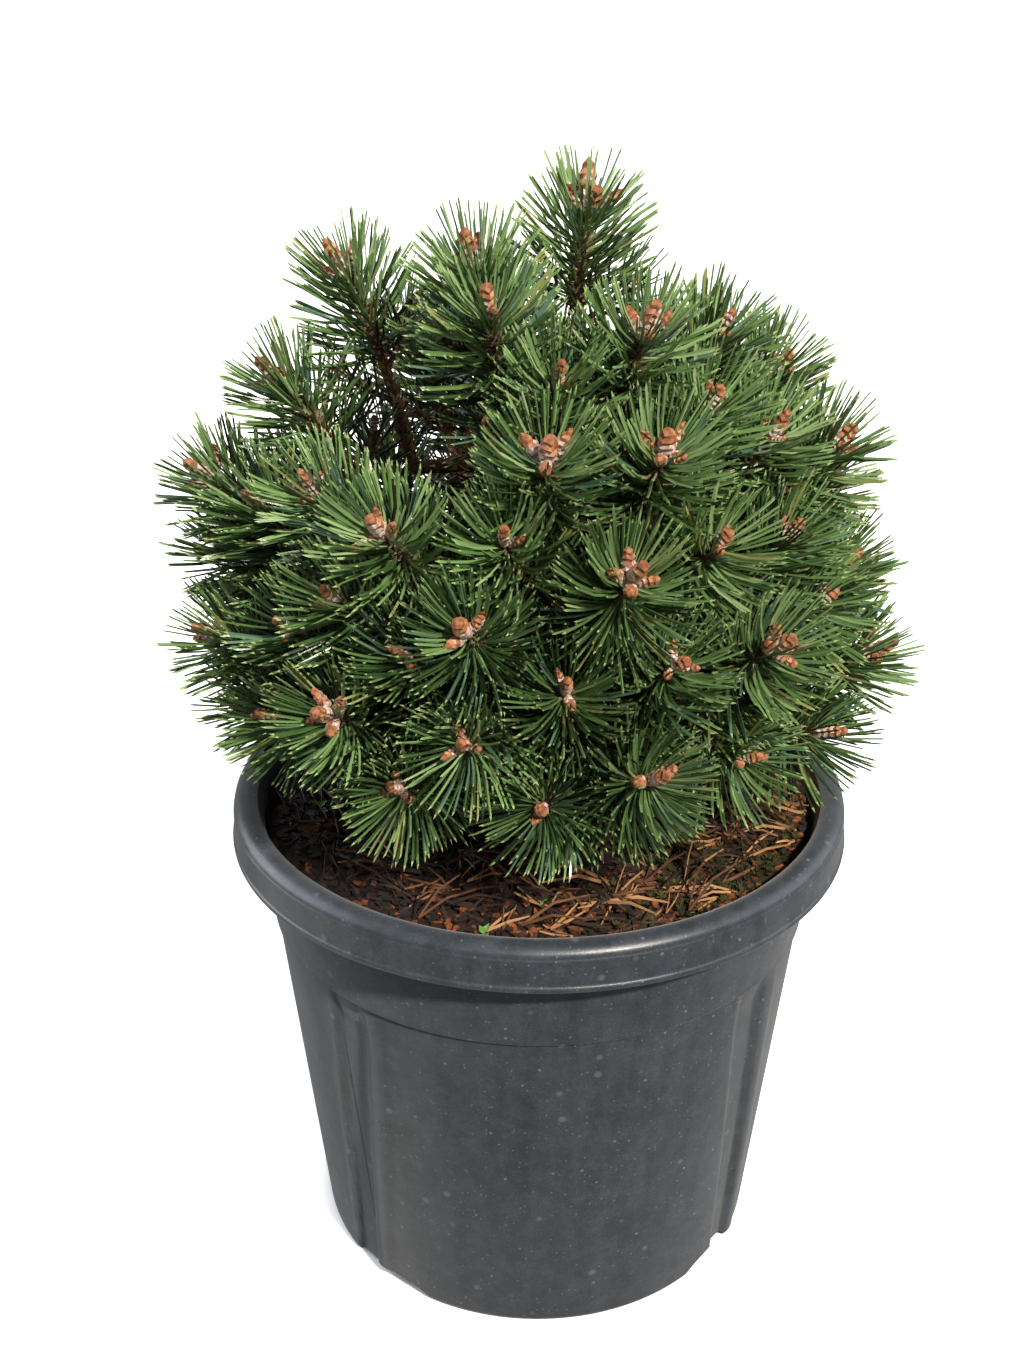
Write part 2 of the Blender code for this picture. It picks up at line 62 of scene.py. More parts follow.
LIP_RADIUS = 0.150
POT_HEIGHT = 0.2462
FOOT_RADIUS = 0.1127
WALL_TOP_RADIUS = 0.1313
WALL_TOP = 0.1831
COLLAR_RADIUS = 0.1320
COLLAR_TOP_RADIUS = 0.1370
LIP_DROP = 0.0210
LIP_CROWN = 0.1418
LIP_ROLL = 0.0074
LIP_ROLL_TURNS = range(-40, 61, 10)
WALL = 0.0024
FLOOR = 0.0045
QUARTERS = 4
PANEL_DEPTHS = (0.0022, 0.0004)
PANEL_SKEW = 0.70
GROOVE_ANGLE = -41.75
GROOVE_WIDTH = 7.0
GROOVE_DEPTH = 0.0028
RIB_WIDTH = 6.0
RIB_RISE = 0.0011
GROOVE_DRIFT = 50
EDGE_WIDTH = 1.5
NOTCH_ANGLE = -38.5
NOTCH_HALF_WIDTH = 0.019
NOTCH_HEIGHT = 0.008
NOTCH_START = 0.096
NOTCH_OVERRUN = 0.010
NOTCH_SIDES = 40
COLUMNS = 400
WALL_RINGS = 14
POT_CREASE = 34
SPOT_FADE = 1.9
SPOTLESS_SHARE = 0.62


def linear(code):
    """Turn an sRGB hex colour into linear RGBA."""
    levels = [int(code[i:i + 2], 16) / 255 for i in (1, 3, 5)]
    return (*[v / 12.92 if v <= 0.04045 else ((v + 0.055) / 1.055) ** 2.4 for v in levels], 1)


def put(tree, kind, inputs=None, **settings):
    """Add a node with its settings, and give each of the named or numbered inputs a value or a link."""
    node = tree.nodes.new(kind)
    for name, value in settings.items():
        setattr(node, name, value)
    for name, value in (inputs or {}).items():
        if isinstance(value, bpy.types.NodeSocket):
            tree.links.new(value, node.inputs[name])
        else:
            node.inputs[name].default_value = value
    return node


def finish_named(name, roughness, ior):
    """A material with its shader's plain roughness and IOR, its tree, and its Object coordinates."""
    material = bpy.data.materials.new(name)
    material.use_nodes = True
    tree = material.node_tree
    shader = tree.nodes["Principled BSDF"]
    shader.inputs["Roughness"].default_value = roughness
    shader.inputs["IOR"].default_value = ior
    return material, tree, shader, put(tree, "ShaderNodeTexCoord").outputs["Object"]


def mottle(tree, place, scale, detail, roughness=0.5):
    """Noise at a place, with a scale in patches to the metre, as a socket."""
    return put(tree, "ShaderNodeTexNoise", {
        "Vector": place, "Scale": scale, "Detail": detail, "Roughness": roughness}).outputs[0]


def stretched(tree, value, least, most, low=0, high=1):
    """A value that runs from least to most brought to run from low to high, and held there, as a socket."""
    return put(tree, "ShaderNodeMapRange", {
        "Value": value, "From Min": least, "From Max": most, "To Min": low, "To Max": high}).outputs[0]


def product(tree, first, second):
    """Two values multiplied, as a socket."""
    return put(tree, "ShaderNodeMath", {0: first, 1: second}, operation="MULTIPLY").outputs[0]


def blended(tree, share, colour, other):
    """Two colours mixed by a share, as a socket. Each is a hex colour or a socket."""
    ends = [linear(end) if isinstance(end, str) else end for end in (colour, other)]
    return put(tree, "ShaderNodeMix", {0: share, 6: ends[0], 7: ends[1]}, data_type="RGBA").outputs[2]


def roughened(tree, shader, height, strength, distance):
    """Let a height raise and sink a shader's surface, by a distance in metres."""
    bump = put(tree, "ShaderNodeBump", {"Height": height, "Strength": strength, "Distance": distance})
    tree.links.new(bump.outputs[0], shader.inputs["Normal"])


def recycled_polypropylene():
    """Moulded recycled polypropylene: semi-gloss charcoal with faint upright flow streaks, dust and lime."""
    material, tree, shader, place = finish_named("recycled_polypropylene_moulded", 0.45, 1.49)
    upright = put(tree, "ShaderNodeMapping", {"Vector": place, "Scale": (1, 1, 0.06)}).outputs[0]
    streak = mottle(tree, upright, 90, 3, 0.6)
    cloud = mottle(tree, place, 22, 5, 0.65)
    tint = stretched(tree, product(tree, streak, cloud), 0.14, 0.38)
    mottled = blended(tree, tint, "#1e2328", "#2c3238")
    # Fine dust in a film with a 1 mm grain, more of it in patches of 1 cm
    film = mottle(tree, place, 950, 4, 0.8)
    patch = mottle(tree, place, 110, 5, 0.75)
    dust = stretched(tree, product(tree, film, patch), 0.20, 0.38, 0, 0.30)
    mottled = blended(tree, dust, mottled, "#51585e")
    # Lime spots up to 2 mm wide, specks up to 1 mm and flecks up to 0.7 mm, each kind in its own cells: how
    # many to the metre, a spot's radius as a share of a cell, its colour and how thick it lies
    for scale, size, colour, share in ((75, 0.09, "#6d747a", 0.34), (140, 0.07, "#7c838a", 0.45),
                                       (330, 0.11, "#6a7278", 0.45)):
        cell = put(tree, "ShaderNodeTexVoronoi", {"Vector": place, "Scale": scale, "Randomness": 1})
        spot = stretched(tree, cell.outputs["Distance"], size, size * SPOT_FADE, share, 0)
        chance = put(tree, "ShaderNodeSeparateColor", {0: cell.outputs["Color"]}).outputs[0]
        some = put(tree, "ShaderNodeMath", {0: chance, 1: SPOTLESS_SHARE}, operation="GREATER_THAN")
        mottled = blended(tree, product(tree, spot, some.outputs[0]), mottled, colour)
    tree.links.new(mottled, shader.inputs["Base Color"])
    # The dust scatters light that grazes the wall
    shader.inputs["Sheen Weight"].default_value = 0.30
    shader.inputs["Sheen Roughness"].default_value = 0.45
    shader.inputs["Sheen Tint"].default_value = linear("#d8d6d0")
    worn = stretched(tree, cloud, 0.3, 0.7, 0.30, 0.46)
    tree.links.new(worn, shader.inputs["Roughness"])
    roughened(tree, shader, mottle(tree, place, 1400, 2), 0.12, 0.0004)
    return material


def recess(angle, height):
    """How far the wall lies inside its cone at an angle in degrees from the front and a height.

    Panels fade towards the foot. Ribs stand a little proud, and they and the grooves drift out from the
    front and the back towards the foot.
    """
    if height > WALL_TOP:
        return 0
    half = GROOVE_WIDTH / 2
    angle -= GROOVE_DRIFT * (WALL_TOP - height) * math.sin(2 * math.radians(angle))
    quarter, turn = divmod((angle - GROOVE_ANGLE + half + EDGE_WIDTH) % 360, 360 / QUARTERS)
    groove_end = 2 * half + 2 * EDGE_WIDTH
    if turn < groove_end:
        side = min(min(turn, groove_end - turn) / EDGE_WIDTH, 1)
        return GROOVE_DEPTH * side * side * (3 - 2 * side)
    panel = (turn - groove_end - RIB_WIDTH) / (360 / QUARTERS - groove_end - RIB_WIDTH)
    if panel < 0:
        return -RIB_RISE * math.sin(math.pi * (turn - groove_end) / RIB_WIDTH)
    depth = PANEL_DEPTHS[int(quarter) % 2] * height / WALL_TOP
    return depth * math.sin(math.pi * panel ** PANEL_SKEW) ** 2


def wall_radius(height):
    """Radius of the wall's outside cone at a height below the collar."""
    return FOOT_RADIUS + (WALL_TOP_RADIUS - FOOT_RADIUS) * height / WALL_TOP


def moulded(angle, radius, height):
    """Sink a point of the wall by the panel or groove at its angle."""
    return radius - recess(angle, height) * min(1, radius / FOOT_RADIUS), height


def rounded(corners, steps=5):
    """The points of a profile whose corners, each a radius, a height and a fillet, are rounded over."""
    points = []
    for index, (r, z, fillet) in enumerate(corners):
        corner = Vector((r, z))
        if index in (0, len(corners) - 1) or fillet == 0:
            points.append(corner)
            continue
        back = Vector(corners[index - 1][:2]) - corner
        on = Vector(corners[index + 1][:2]) - corner
        start = corner + back.normalized() * min(fillet, back.length * 0.48)
        end = corner + on.normalized() * min(fillet, on.length * 0.48)
        for step in range(steps + 1):
            t = step / steps
            points.append(start.lerp(corner, t).lerp(corner.lerp(end, t), t))
    return points


def band(start, count):
    """The faces between a ring of points, from its first point's number, and the ring after it."""
    return [(start + k, start + (k + 1) % count, start + (k + 1) % count + count, start + k + count)
            for k in range(count)]


def fan(start, count, point):
    """The faces between a ring of points, from its first point's number, and one other point."""
    return [(start + k, start + (k + 1) % count, point) for k in range(count)]


def turned(name, profile, columns, shape):
    """A closed mesh turned round Z from a profile from axis to axis, with each point moved by its shape."""
    rings = profile[1:-1]
    vertices = []
    for radius, height in rings:
        for column in range(columns):
            angle = 360 * column / columns
            r, z = shape(angle, radius, height)
            turn = math.radians(angle - 90)
            vertices.append((r * math.cos(turn), r * math.sin(turn), z))
    faces = []
    for ring in range(len(rings) - 1):
        faces += band(ring * columns, columns)
    last = (len(rings) - 1) * columns
    for start, pole in ((0, profile[0]), (last, profile[-1])):
        faces += fan(start, columns, len(vertices))
        vertices.append((0, 0, shape(0, 0, pole[1])[1]))
    mesh = bpy.data.meshes.new(name)
    mesh.from_pydata(vertices, [], faces)
    face_out(mesh)
    return mesh


def face_out(mesh):
    """Turn a mesh's faces outwards."""
    bm = bmesh.new()
    bm.from_mesh(mesh)
    bmesh.ops.recalc_face_normals(bm, faces=bm.faces)
    bm.to_mesh(mesh)
    bm.free()


def placed(name, data):
    """A new object in the scene, from a mesh, a lamp or a camera."""
    thing = bpy.data.objects.new(name, data)
    bpy.context.scene.collection.objects.link(thing)
    return thing


def show(name, mesh, slot, nodes, *materials):
    """Make a piece of the plant from a mesh: it rides on the one body and stands for its CAD nodes."""
    piece = placed(name, mesh)
    for material in materials:
        mesh.materials.append(material)
    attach(piece, "root")
    if nodes:
        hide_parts(*nodes)
    return piece


def evaluated(obj, name):
    """The finished mesh of an object with its modifiers, which is then removed."""
    bpy.context.view_layer.update()
    depsgraph = bpy.context.evaluated_depsgraph_get()
    mesh = bpy.data.meshes.new_from_object(obj.evaluated_get(depsgraph), depsgraph=depsgraph)
    mesh.name = name
    bpy.data.objects.remove(obj)
    return mesh


def pot_profile():
    """The pot's outline from the middle of its inner floor, over the lip, to the middle of its underside.

    Each corner is a radius, a height and a fillet.
    """
    lip_foot = POT_HEIGHT - LIP_DROP
    inner_top = COLLAR_TOP_RADIUS - WALL
    floor_radius = wall_radius(FLOOR) - WALL
    inside = [(0, FLOOR, 0), (floor_radius, FLOOR, 0.002),
              (wall_radius(WALL_TOP - 2 * WALL) - WALL, WALL_TOP - 2 * WALL, 0.001),
              (COLLAR_RADIUS - WALL, WALL_TOP + WALL, 0.001),
              (inner_top, POT_HEIGHT - 0.0085, 0.003)]
    roll = []
    for degrees in LIP_ROLL_TURNS:
        turn = math.radians(degrees)
        roll.append((LIP_CROWN + LIP_ROLL * math.sin(turn), POT_HEIGHT - LIP_ROLL * (1 - math.cos(turn)), 0))
    skirt = [(LIP_RADIUS - 0.0017, POT_HEIGHT - 0.0050, 0.0004),
             (LIP_RADIUS - 0.0012, POT_HEIGHT - 0.0060, 0.0006),
             (LIP_RADIUS - 0.0009, lip_foot + 0.0032, 0.0006), (LIP_RADIUS, lip_foot + 0.0020, 0.0007),
             (LIP_RADIUS - 0.0002, lip_foot, 0.0005), (LIP_RADIUS - WALL, lip_foot, 0.0006),
             (LIP_RADIUS - WALL - 0.0015, POT_HEIGHT - 0.0062, 0.002),
             (COLLAR_TOP_RADIUS + 0.0018, POT_HEIGHT - 0.0062, 0.002),
             (COLLAR_TOP_RADIUS, lip_foot + 0.0060, 0.001)]
    step = [(COLLAR_RADIUS + 0.0004, WALL_TOP + 0.0030, 0.0006),
            (COLLAR_RADIUS + 0.0004, WALL_TOP + 0.0016, 0.0004),
            (WALL_TOP_RADIUS - 0.0006, WALL_TOP + 0.0012, 0.0002), (WALL_TOP_RADIUS - 0.0006, WALL_TOP, 0)]
    heights = [WALL_TOP * (1 - k / WALL_RINGS) for k in range(1, WALL_RINGS)]
    wall = [(wall_radius(height), height, 0) for height in heights]
    foot = [(FOOT_RADIUS + 0.0002, 0.0020, 0.002), (FOOT_RADIUS - 0.0022, 0, 0.0015), (0, 0, 0)]
    return rounded(inside + roll + skirt + step + wall + foot)


def notch_cutter():
    """The four rounded notches through the foot of the wall, as one cutter."""
    reach = FOOT_RADIUS + NOTCH_OVERRUN - NOTCH_START
    bm = bmesh.new()
    for quarter in range(QUARTERS):
        turn = Matrix.Rotation(math.radians(NOTCH_ANGLE + 360 / QUARTERS * quarter - 90), 4, "Z")
        lay = Matrix.Translation((NOTCH_START + reach / 2, 0, 0)) @ Matrix.Rotation(math.pi / 2, 4, "Y")
        squash = Matrix.Diagonal((NOTCH_HEIGHT, NOTCH_HALF_WIDTH, 1, 1))
        bmesh.ops.create_cone(bm, cap_ends=True, segments=NOTCH_SIDES, radius1=1, radius2=1, depth=reach,
                              matrix=turn @ lay @ squash)
    mesh = bpy.data.meshes.new("notch_cutter")
    bm.to_mesh(mesh)
    bm.free()
    return placed("notch_cutter", mesh)


shell = placed("shell", turned("shell", pot_profile(), COLUMNS, moulded))
cutter = notch_cutter()
cut = shell.modifiers.new("drain notches", "BOOLEAN")
cut.operation = "DIFFERENCE"
cut.object = cutter
pot_mesh = evaluated(shell, "moulded_pot")
bpy.data.objects.remove(cutter)
pot_mesh.shade_smooth()
pot_mesh.set_sharp_from_angle(angle=math.radians(POT_CREASE))
show("moulded_pot", pot_mesh, "pot_plastic", ["pot"], recycled_polypropylene())


# The potting mix
# Peat and fine composted bark, filled to a finger below the lip and heaped a little round the stem.
# It is damp and dark, with crumbs and lumps, and moss starts on it where the sun reaches, at the right.

GAP = 0.0003
SOIL_EDGE = 0.2345
SOIL_CROWN = 0.2415
SOIL_LUMP = 0.0030
SOIL_CRUMB = 0.0016
LUMPS_TO_METRE = 45
CRUMBS_TO_METRE = 190
FINES_TO_METRE = 520
STEM_BED = 0.032
SOIL_SIDEROOM = 0.0012
SOIL_COLUMNS = 260
SOIL_RINGS = 60
SOIL_CREASE = 50
MOSS_PLACE = Vector((0.085, -0.070, 0.2400))
MOSS_REACH = 0.060


def soil_height(x, y):
    """Height of the potting mix's surface at a place: a low dome with lumps and crumbs."""
    out = min(max((math.hypot(x, y) - STEM_BED) / (COLLAR_TOP_RADIUS - STEM_BED), 0), 1)
    place = Vector((x, y, 0))
    lump = noise.noise(place * LUMPS_TO_METRE) * SOIL_LUMP * min(1, 4 * out)
    crumb = noise.noise(place * CRUMBS_TO_METRE) + 0.6 * noise.noise(place * FINES_TO_METRE)
    lump += crumb * SOIL_CRUMB * min(1, 6 * out)
    return SOIL_CROWN + (SOIL_EDGE - SOIL_CROWN) * out ** 2 + lump


def heaped(angle, radius, height):
    """Give a point of the potting mix's top its height; its sides stay."""
    if height < SOIL_EDGE:
        return radius, height
    turn = math.radians(angle - 90)
    return radius, soil_height(radius * math.cos(turn), radius * math.sin(turn))


def soil_profile():
    """The potting mix's outline, from the middle of its top, down inside the wall, to its foot's middle."""
    edge = COLLAR_TOP_RADIUS - WALL - SOIL_SIDEROOM
    top = [(edge * k / SOIL_RINGS, SOIL_EDGE) for k in range(SOIL_RINGS + 1)]
    under = WALL_TOP - 2 * WALL
    sunk = WALL + GAP + GROOVE_DEPTH
    side = [(COLLAR_RADIUS - WALL - GAP, WALL_TOP + WALL), (wall_radius(under) - sunk, under),
            (wall_radius(FLOOR) - sunk, FLOOR + GAP), (0, FLOOR + GAP)]
    return top + side


def peat_mix():
    """Peat and bark fines: matt, near black when damp, with red brown crumbs of 2 to 6 mm and olive moss."""
    material, tree, shader, place = finish_named("peat_and_bark_fines", 0.95, 1.35)
    crumb = mottle(tree, place, 260, 6, 0.7)
    brown = blended(tree, stretched(tree, crumb, 0.36, 0.66), "#0a0604", "#2c190f")
    away = put(tree, "ShaderNodeVectorMath", {0: place, 1: MOSS_PLACE}, operation="DISTANCE")
    near = stretched(tree, away.outputs["Value"], MOSS_REACH * 0.3, MOSS_REACH, 0.85, 0)
    patch = mottle(tree, place, 70, 4)
    mossy = stretched(tree, product(tree, near, patch), 0.18, 0.42)
    tree.links.new(blended(tree, mossy, brown, "#25250c"), shader.inputs["Base Color"])
    roughened(tree, shader, crumb, 0.8, 0.0012)
    return material


soil_mesh = turned("potting_mix", soil_profile(), SOIL_COLUMNS, heaped)
soil_mesh.shade_smooth()
soil_mesh.set_sharp_from_angle(angle=math.radians(SOIL_CREASE))
show("potting_mix", soil_mesh, "soil", ["soil"], peat_mix())


# The litter on the mix
# Old needles still in pairs, chips of bark, tufts of moss and a few seedling leaves lie loose over it.
# Pale and dark pieces mix by chance. Besides that, straw and fox brown at the front and right are painted
# sunlight, and darker pieces at the left and back are painted shade.

LITTER_REACH = COLLAR_TOP_RADIUS - WALL - 0.004
FALLEN_PAIRS = 1300
FALLEN_REACH = 0.030
FALLEN_HALF = 0.0006
FALLEN_LIFT = 0.0030
BARK_CHIPS = 4200
CHIP_CORNERS = 6
CHIP_HALF = 0.0005
MOSS_TUFTS = 420
SEEDLINGS = 22
LITTER_SHAPES = 5
TUFT_SHAPES = 3
LEAST_LIFT = 0.0002
LITTER_LIFT = 0.0012
LITTER_WOBBLE = 0.15
LITTER_SEED = 11
# Leaves of a tuft, their length and width and how far they lean, in radians
MOSS_TUFT = (13, 0.0042, 0.0009, 0.9)
SEEDLING_TUFT = (4, 0.0075, 0.0042, 1.2)
LEAF_FACES = ((0, 1, 2), (0, 2, 3), (0, 4, 1), (0, 3, 4), (4, 2, 1), (4, 3, 2))
# How pale the litter's tone is: a middle value, then painted light and shade that grow paler for each metre
# to the right and to the front, and chance for dry and damp pieces
LITTER_TONE_MIDDLE = 0.16
PAINTED_LIGHT_RIGHT = 3.4
PAINTED_LIGHT_FRONT = 2.4
DRY_CHANCE = 0.40
# What each point of litter, and later each needle, bud and scale, carries after its place
POINT_FIELDS = (("aim", "FLOAT_VECTOR"), ("side", "FLOAT_VECTOR"), ("size", "FLOAT"), ("shape", "INT"),
                ("tone", "INT"))
PART_FIELD = ("part", "INT")


def shape_mesh(name, vertices, faces, parts, home):
    """One small shape to be repeated: a closed mesh whose faces carry the number of their part."""
    mesh = bpy.data.meshes.new(name)
    mesh.from_pydata(vertices, [], faces)
    face_out(mesh)
    mesh.attributes.new("part", "INT", "FACE").data.foreach_set("value", parts)
    home.objects.link(bpy.data.objects.new(name, mesh))


def growth_tree(name, tones, parts):
    """Geometry Nodes that set shapes on points, turned to aims and sides, make them real and paint them.

    tones are the materials for a point's tone, and parts those for some numbered parts of a shape.
    """
    tree = bpy.data.node_groups.new(name, "GeometryNodeTree")
    sockets = (("Points", "NodeSocketGeometry"), ("Shapes", "NodeSocketCollection"),
               ("Size", "NodeSocketFloat"), ("Wobble", "NodeSocketFloat"), ("Seed", "NodeSocketInt"))
    for label, kind in sockets:
        tree.interface.new_socket(label, in_out="INPUT", socket_type=kind)
    tree.interface.new_socket("Grown", in_out="OUTPUT", socket_type="NodeSocketGeometry")
    given = put(tree, "NodeGroupInput").outputs
    named = {}
    for label, kind in (*POINT_FIELDS, PART_FIELD):
        attribute = put(tree, "GeometryNodeInputNamedAttribute", {"Name": label}, data_type=kind)
        named[label] = attribute.outputs[0]
    forward = put(tree, "FunctionNodeAlignRotationToVector", {"Vector": named["aim"]}, axis="Z")
    upright = put(tree, "FunctionNodeAlignRotationToVector",
                  {"Rotation": forward.outputs[0], "Vector": named["side"]}, axis="X", pivot_axis="Z")
    least = product(tree, given["Wobble"], -1)
    low, high = [put(tree, "ShaderNodeCombineXYZ", {k: end for k in range(3)}).outputs[0]
                 for end in (least, given["Wobble"])]
    chance = put(tree, "FunctionNodeRandomValue", {0: low, 1: high, "Seed": given["Seed"]},
                 data_type="FLOAT_VECTOR")
    jitter = put(tree, "FunctionNodeEulerToRotation", {0: chance.outputs[0]})
    turn = put(tree, "FunctionNodeRotateRotation", {0: upright.outputs[0], 1: jitter.outputs[0]},
               rotation_space="LOCAL")
    size = product(tree, named["size"], given["Size"])
    shapes = put(tree, "GeometryNodeCollectionInfo",
                 {"Collection": given["Shapes"], "Separate Children": True, "Reset Children": True})
    spray = put(tree, "GeometryNodeInstanceOnPoints", {
        "Points": given["Points"], "Instance": shapes.outputs[0], "Pick Instance": True,
        "Instance Index": named["shape"], "Rotation": turn.outputs[0], "Scale": size})
    grown = put(tree, "GeometryNodeRealizeInstances", {"Geometry": spray.outputs[0]}).outputs[0]
    for label, materials in (("tone", dict(enumerate(tones))), ("part", parts)):
        for number, material in materials.items():
            picked = put(tree, "FunctionNodeCompare", {2: named[label], 3: number},
                         data_type="INT", operation="EQUAL")
            choice = {"Geometry": grown, "Material": material}
            if label == "part" or number > 0:
                choice["Selection"] = picked.outputs[0]
            grown = put(tree, "GeometryNodeSetMaterial", choice).outputs[0]
    put(tree, "NodeGroupOutput", {"Grown": grown})
    return tree


def grown(name, tree, shapes, rows, size, wobble, seed):
    """Set shapes on points by a growth tree. rows are tuples of foot, aim, side, size, shape and tone."""
    mesh = bpy.data.meshes.new(name)
    columns = list(zip(*rows))
    mesh.from_pydata(columns[0], [], [])
    for (label, kind), values in zip(POINT_FIELDS, columns[1:]):
        attribute = mesh.attributes.new(label, kind, "POINT")
        field = "vector" if kind == "FLOAT_VECTOR" else "value"
        number = np.int32 if kind == "INT" else np.float32
        attribute.data.foreach_set(field, np.array(values, dtype=number).ravel())
    points = placed(name, mesh)
    modifier = points.modifiers.new("growth", "NODES")
    modifier.node_group = tree
    sockets = {item.name: item.identifier for item in tree.interface.items_tree}
    for label, value in (("Shapes", shapes), ("Size", size), ("Wobble", wobble), ("Seed", seed)):
        modifier[sockets[label]] = value
    result = evaluated(points, name)
    for label, _ in (*POINT_FIELDS, PART_FIELD):
        if label in result.attributes:
            result.attributes.remove(result.attributes[label])
    return result


def matt(name, colour, other, scale, roughness):
    """A dry plant surface: two near colours in patches of a real size, given as patches to the metre."""
    material, tree, shader, place = finish_named(name, roughness, 1.40)
    patch = mottle(tree, place, scale, 3)
    both = blended(tree, stretched(tree, patch, 0.35, 0.65), colour, other)
    tree.links.new(both, shader.inputs["Base Color"])
    roughened(tree, shader, patch, 0.3, 0.0004)
    return material


def fallen_pair(name, length, bow, spread, home):
    """An old pair of needles, dry and bent, joined at its sheath: two three-sided blades."""
    vertices, faces = [], []
    for hand in (-1, 1):
        first = len(vertices)
        for share in (0, 0.5, 0.94):
            middle = Vector((0, hand * spread * share, length * share))
            middle.x = bow * math.sin(math.pi * share)
            thick = FALLEN_HALF * (1 if share < 0.9 else 0.5)
            vertices += [middle + Vector((thick, 0, 0)), middle + Vector((-thick, thick * 0.6, 0)),
                         middle + Vector((-thick, -thick * 0.6, 0))]
        faces += band(first, 3) + band(first + 3, 3)
        faces += [(first, first + 1, first + 2), (first + 6, first + 7, first + 8)]
    shape_mesh(name, vertices, faces, [0] * len(faces), home)


def bark_chip(name, random, home):
    """A flat broken chip of bark with uneven corners."""
    vertices = []
    for level in (-CHIP_HALF, CHIP_HALF):
        for k in range(CHIP_CORNERS):
            turn = math.tau * k / CHIP_CORNERS
            vertices.append(((0.0011 + random.uniform(0, 0.0010)) * math.cos(turn), level,
                             random.uniform(0.0020, 0.0046) * math.sin(turn)))
    faces = [tuple(range(CHIP_CORNERS)), tuple(range(CHIP_CORNERS, 2 * CHIP_CORNERS))]
    faces += band(0, CHIP_CORNERS)
    shape_mesh(name, vertices, faces, [0] * len(faces), home)


def leaf_tuft(name, leaves, length, width, lean, random, home):
    """A tuft of small leaves, each a folded diamond with a keel, spread round Z."""
    vertices, faces = [], []
    for k in range(leaves):
        turn = Matrix.Rotation(math.tau * (k + random.uniform(-0.3, 0.3)) / leaves, 3, "Z")
        tip = lean * random.uniform(0.6, 1.2)
        reach = length * random.uniform(0.7, 1.1)
        end = Vector((math.sin(tip), 0, math.cos(tip))) * reach
        lift = Vector((-math.cos(tip), 0, math.sin(tip))) * width * 0.3
        side = Vector((0, width / 2, 0))
        first = len(vertices)
        vertices += [turn @ corner for corner in (Vector(), end * 0.5 + side + lift, end,
                                                  end * 0.5 - side + lift, end * 0.5 - lift * 0.4)]
        faces += [tuple(first + k for k in face) for face in LEAF_FACES]
    shape_mesh(name, vertices, faces, [0] * len(faces), home)


def litter_rows(count, shapes, lie, tones, random, centre=None, reach=0):
    """Places for litter: foot, aim, side, size, shape and tone, over the whole mix or round a centre."""
    rows = []
    while len(rows) < count:
        out, turn = LITTER_REACH * math.sqrt(random.random()), random.uniform(0, math.tau)
        if centre:
            place = centre + Vector((random.gauss(0, reach), random.gauss(0, reach), 0))
        else:
            place = Vector((out * math.cos(turn), out * math.sin(turn), 0))
        spin = random.uniform(0, math.tau)
        aim = Vector((math.cos(spin), math.sin(spin), random.uniform(-0.15, 0.35)))
        side = Vector((0, 0, 1))
        if lie == "stand":
            aim, side = Vector((random.uniform(-0.3, 0.3), random.uniform(-0.3, 0.3), 1)), aim
        elif lie == "flat":
            side = aim.cross(Vector((random.uniform(-0.5, 0.5), random.uniform(-0.5, 0.5), 1)))
        end = place + aim * (FALLEN_REACH if lie == "long" else 0)
        if max(place.xy.length, end.xy.length) > LITTER_REACH:
            continue
        highest = FALLEN_LIFT if lie == "long" else LITTER_LIFT
        place.z = soil_height(place.x, place.y) + random.uniform(LEAST_LIFT, highest)
        # The tone is painted sunlight to the right and front and painted shade to the left and back, mixed
        # with chance
        dry = LITTER_TONE_MIDDLE + PAINTED_LIGHT_RIGHT * place.x - PAINTED_LIGHT_FRONT * place.y + random.gauss(0, DRY_CHANCE)
        tone = min(max(int(dry * tones), 0), tones - 1)
        size, shape = random.uniform(0.7, 1.2), random.randrange(shapes)
        rows.append((place, aim.normalized(), side, size, shape, tone))
    return rows


random = Random(LITTER_SEED)
straw_tones = [matt(f"fallen_needle_{label}", a, b, 60, 0.75) for label, a, b in (
    ("damp_and_shaded", "#19120e", "#291e18"), ("umber", "#2b1e16", "#3f2e21"), ("fox", "#3a2316", "#51331d"),
    ("tan", "#573723", "#6e4c2e"), ("straw", "#86603c", "#a67d53"))]
chip_tones = [matt(f"bark_chip_{label}", a, b, 300, 0.9) for label, a, b in (
    ("damp_and_shaded", "#110b08", "#1f150f"), ("brown", "#23150e", "#392617"), ("red", "#4b2713", "#7e4522"))]
moss_tones = [matt(f"moss_{label}", a, b, 200, 0.9) for label, a, b in (
    ("shade", "#171a0a", "#22240e"), ("olive", "#2e2f11", "#423d18"))]
seedling_tones = [matt("seedling_leaf", "#3c6a2a", "#58883a", 200, 0.55)]

for name, tones, count, lie in (("fallen_needles", straw_tones, FALLEN_PAIRS, "long"),
                                ("bark_chips", chip_tones, BARK_CHIPS, "flat"),
                                ("moss", moss_tones, MOSS_TUFTS, "stand"),
                                ("seedlings", seedling_tones, SEEDLINGS, "stand")):
    home = bpy.data.collections.new(name)
    if lie == "long":
        for k in range(LITTER_SHAPES):
            fallen_pair(f"pair_{k}", 0.011 + 0.005 * k, 0.0016 * (k - 1.5), 0.0012 + 0.0016 * k, home)
    elif lie == "flat":
        for k in range(LITTER_SHAPES):
            bark_chip(f"chip_{k}", random, home)
    else:
        for k in range(TUFT_SHAPES):
            leaf_tuft(f"tuft_{k}", *(MOSS_TUFT if name == "moss" else SEEDLING_TUFT), random, home)
    near = (MOSS_PLACE, MOSS_REACH * 0.5) if name == "moss" else ()
    rows = litter_rows(count, len(home.objects), lie, len(tones), random, *near)
    mesh = grown(name, growth_tree(name, tones, {}), home, rows, 1, LITTER_WOBBLE, LITTER_SEED)
    show(name, mesh, "soil", [])


# The plan of the crown
# The pine grows in whorls: a short stem forks into boughs, limbs leave them, and each ends in a leader with
# side shoots round it. The buds lie spread over an egg shape. A mass of needles is one limb's shoots.

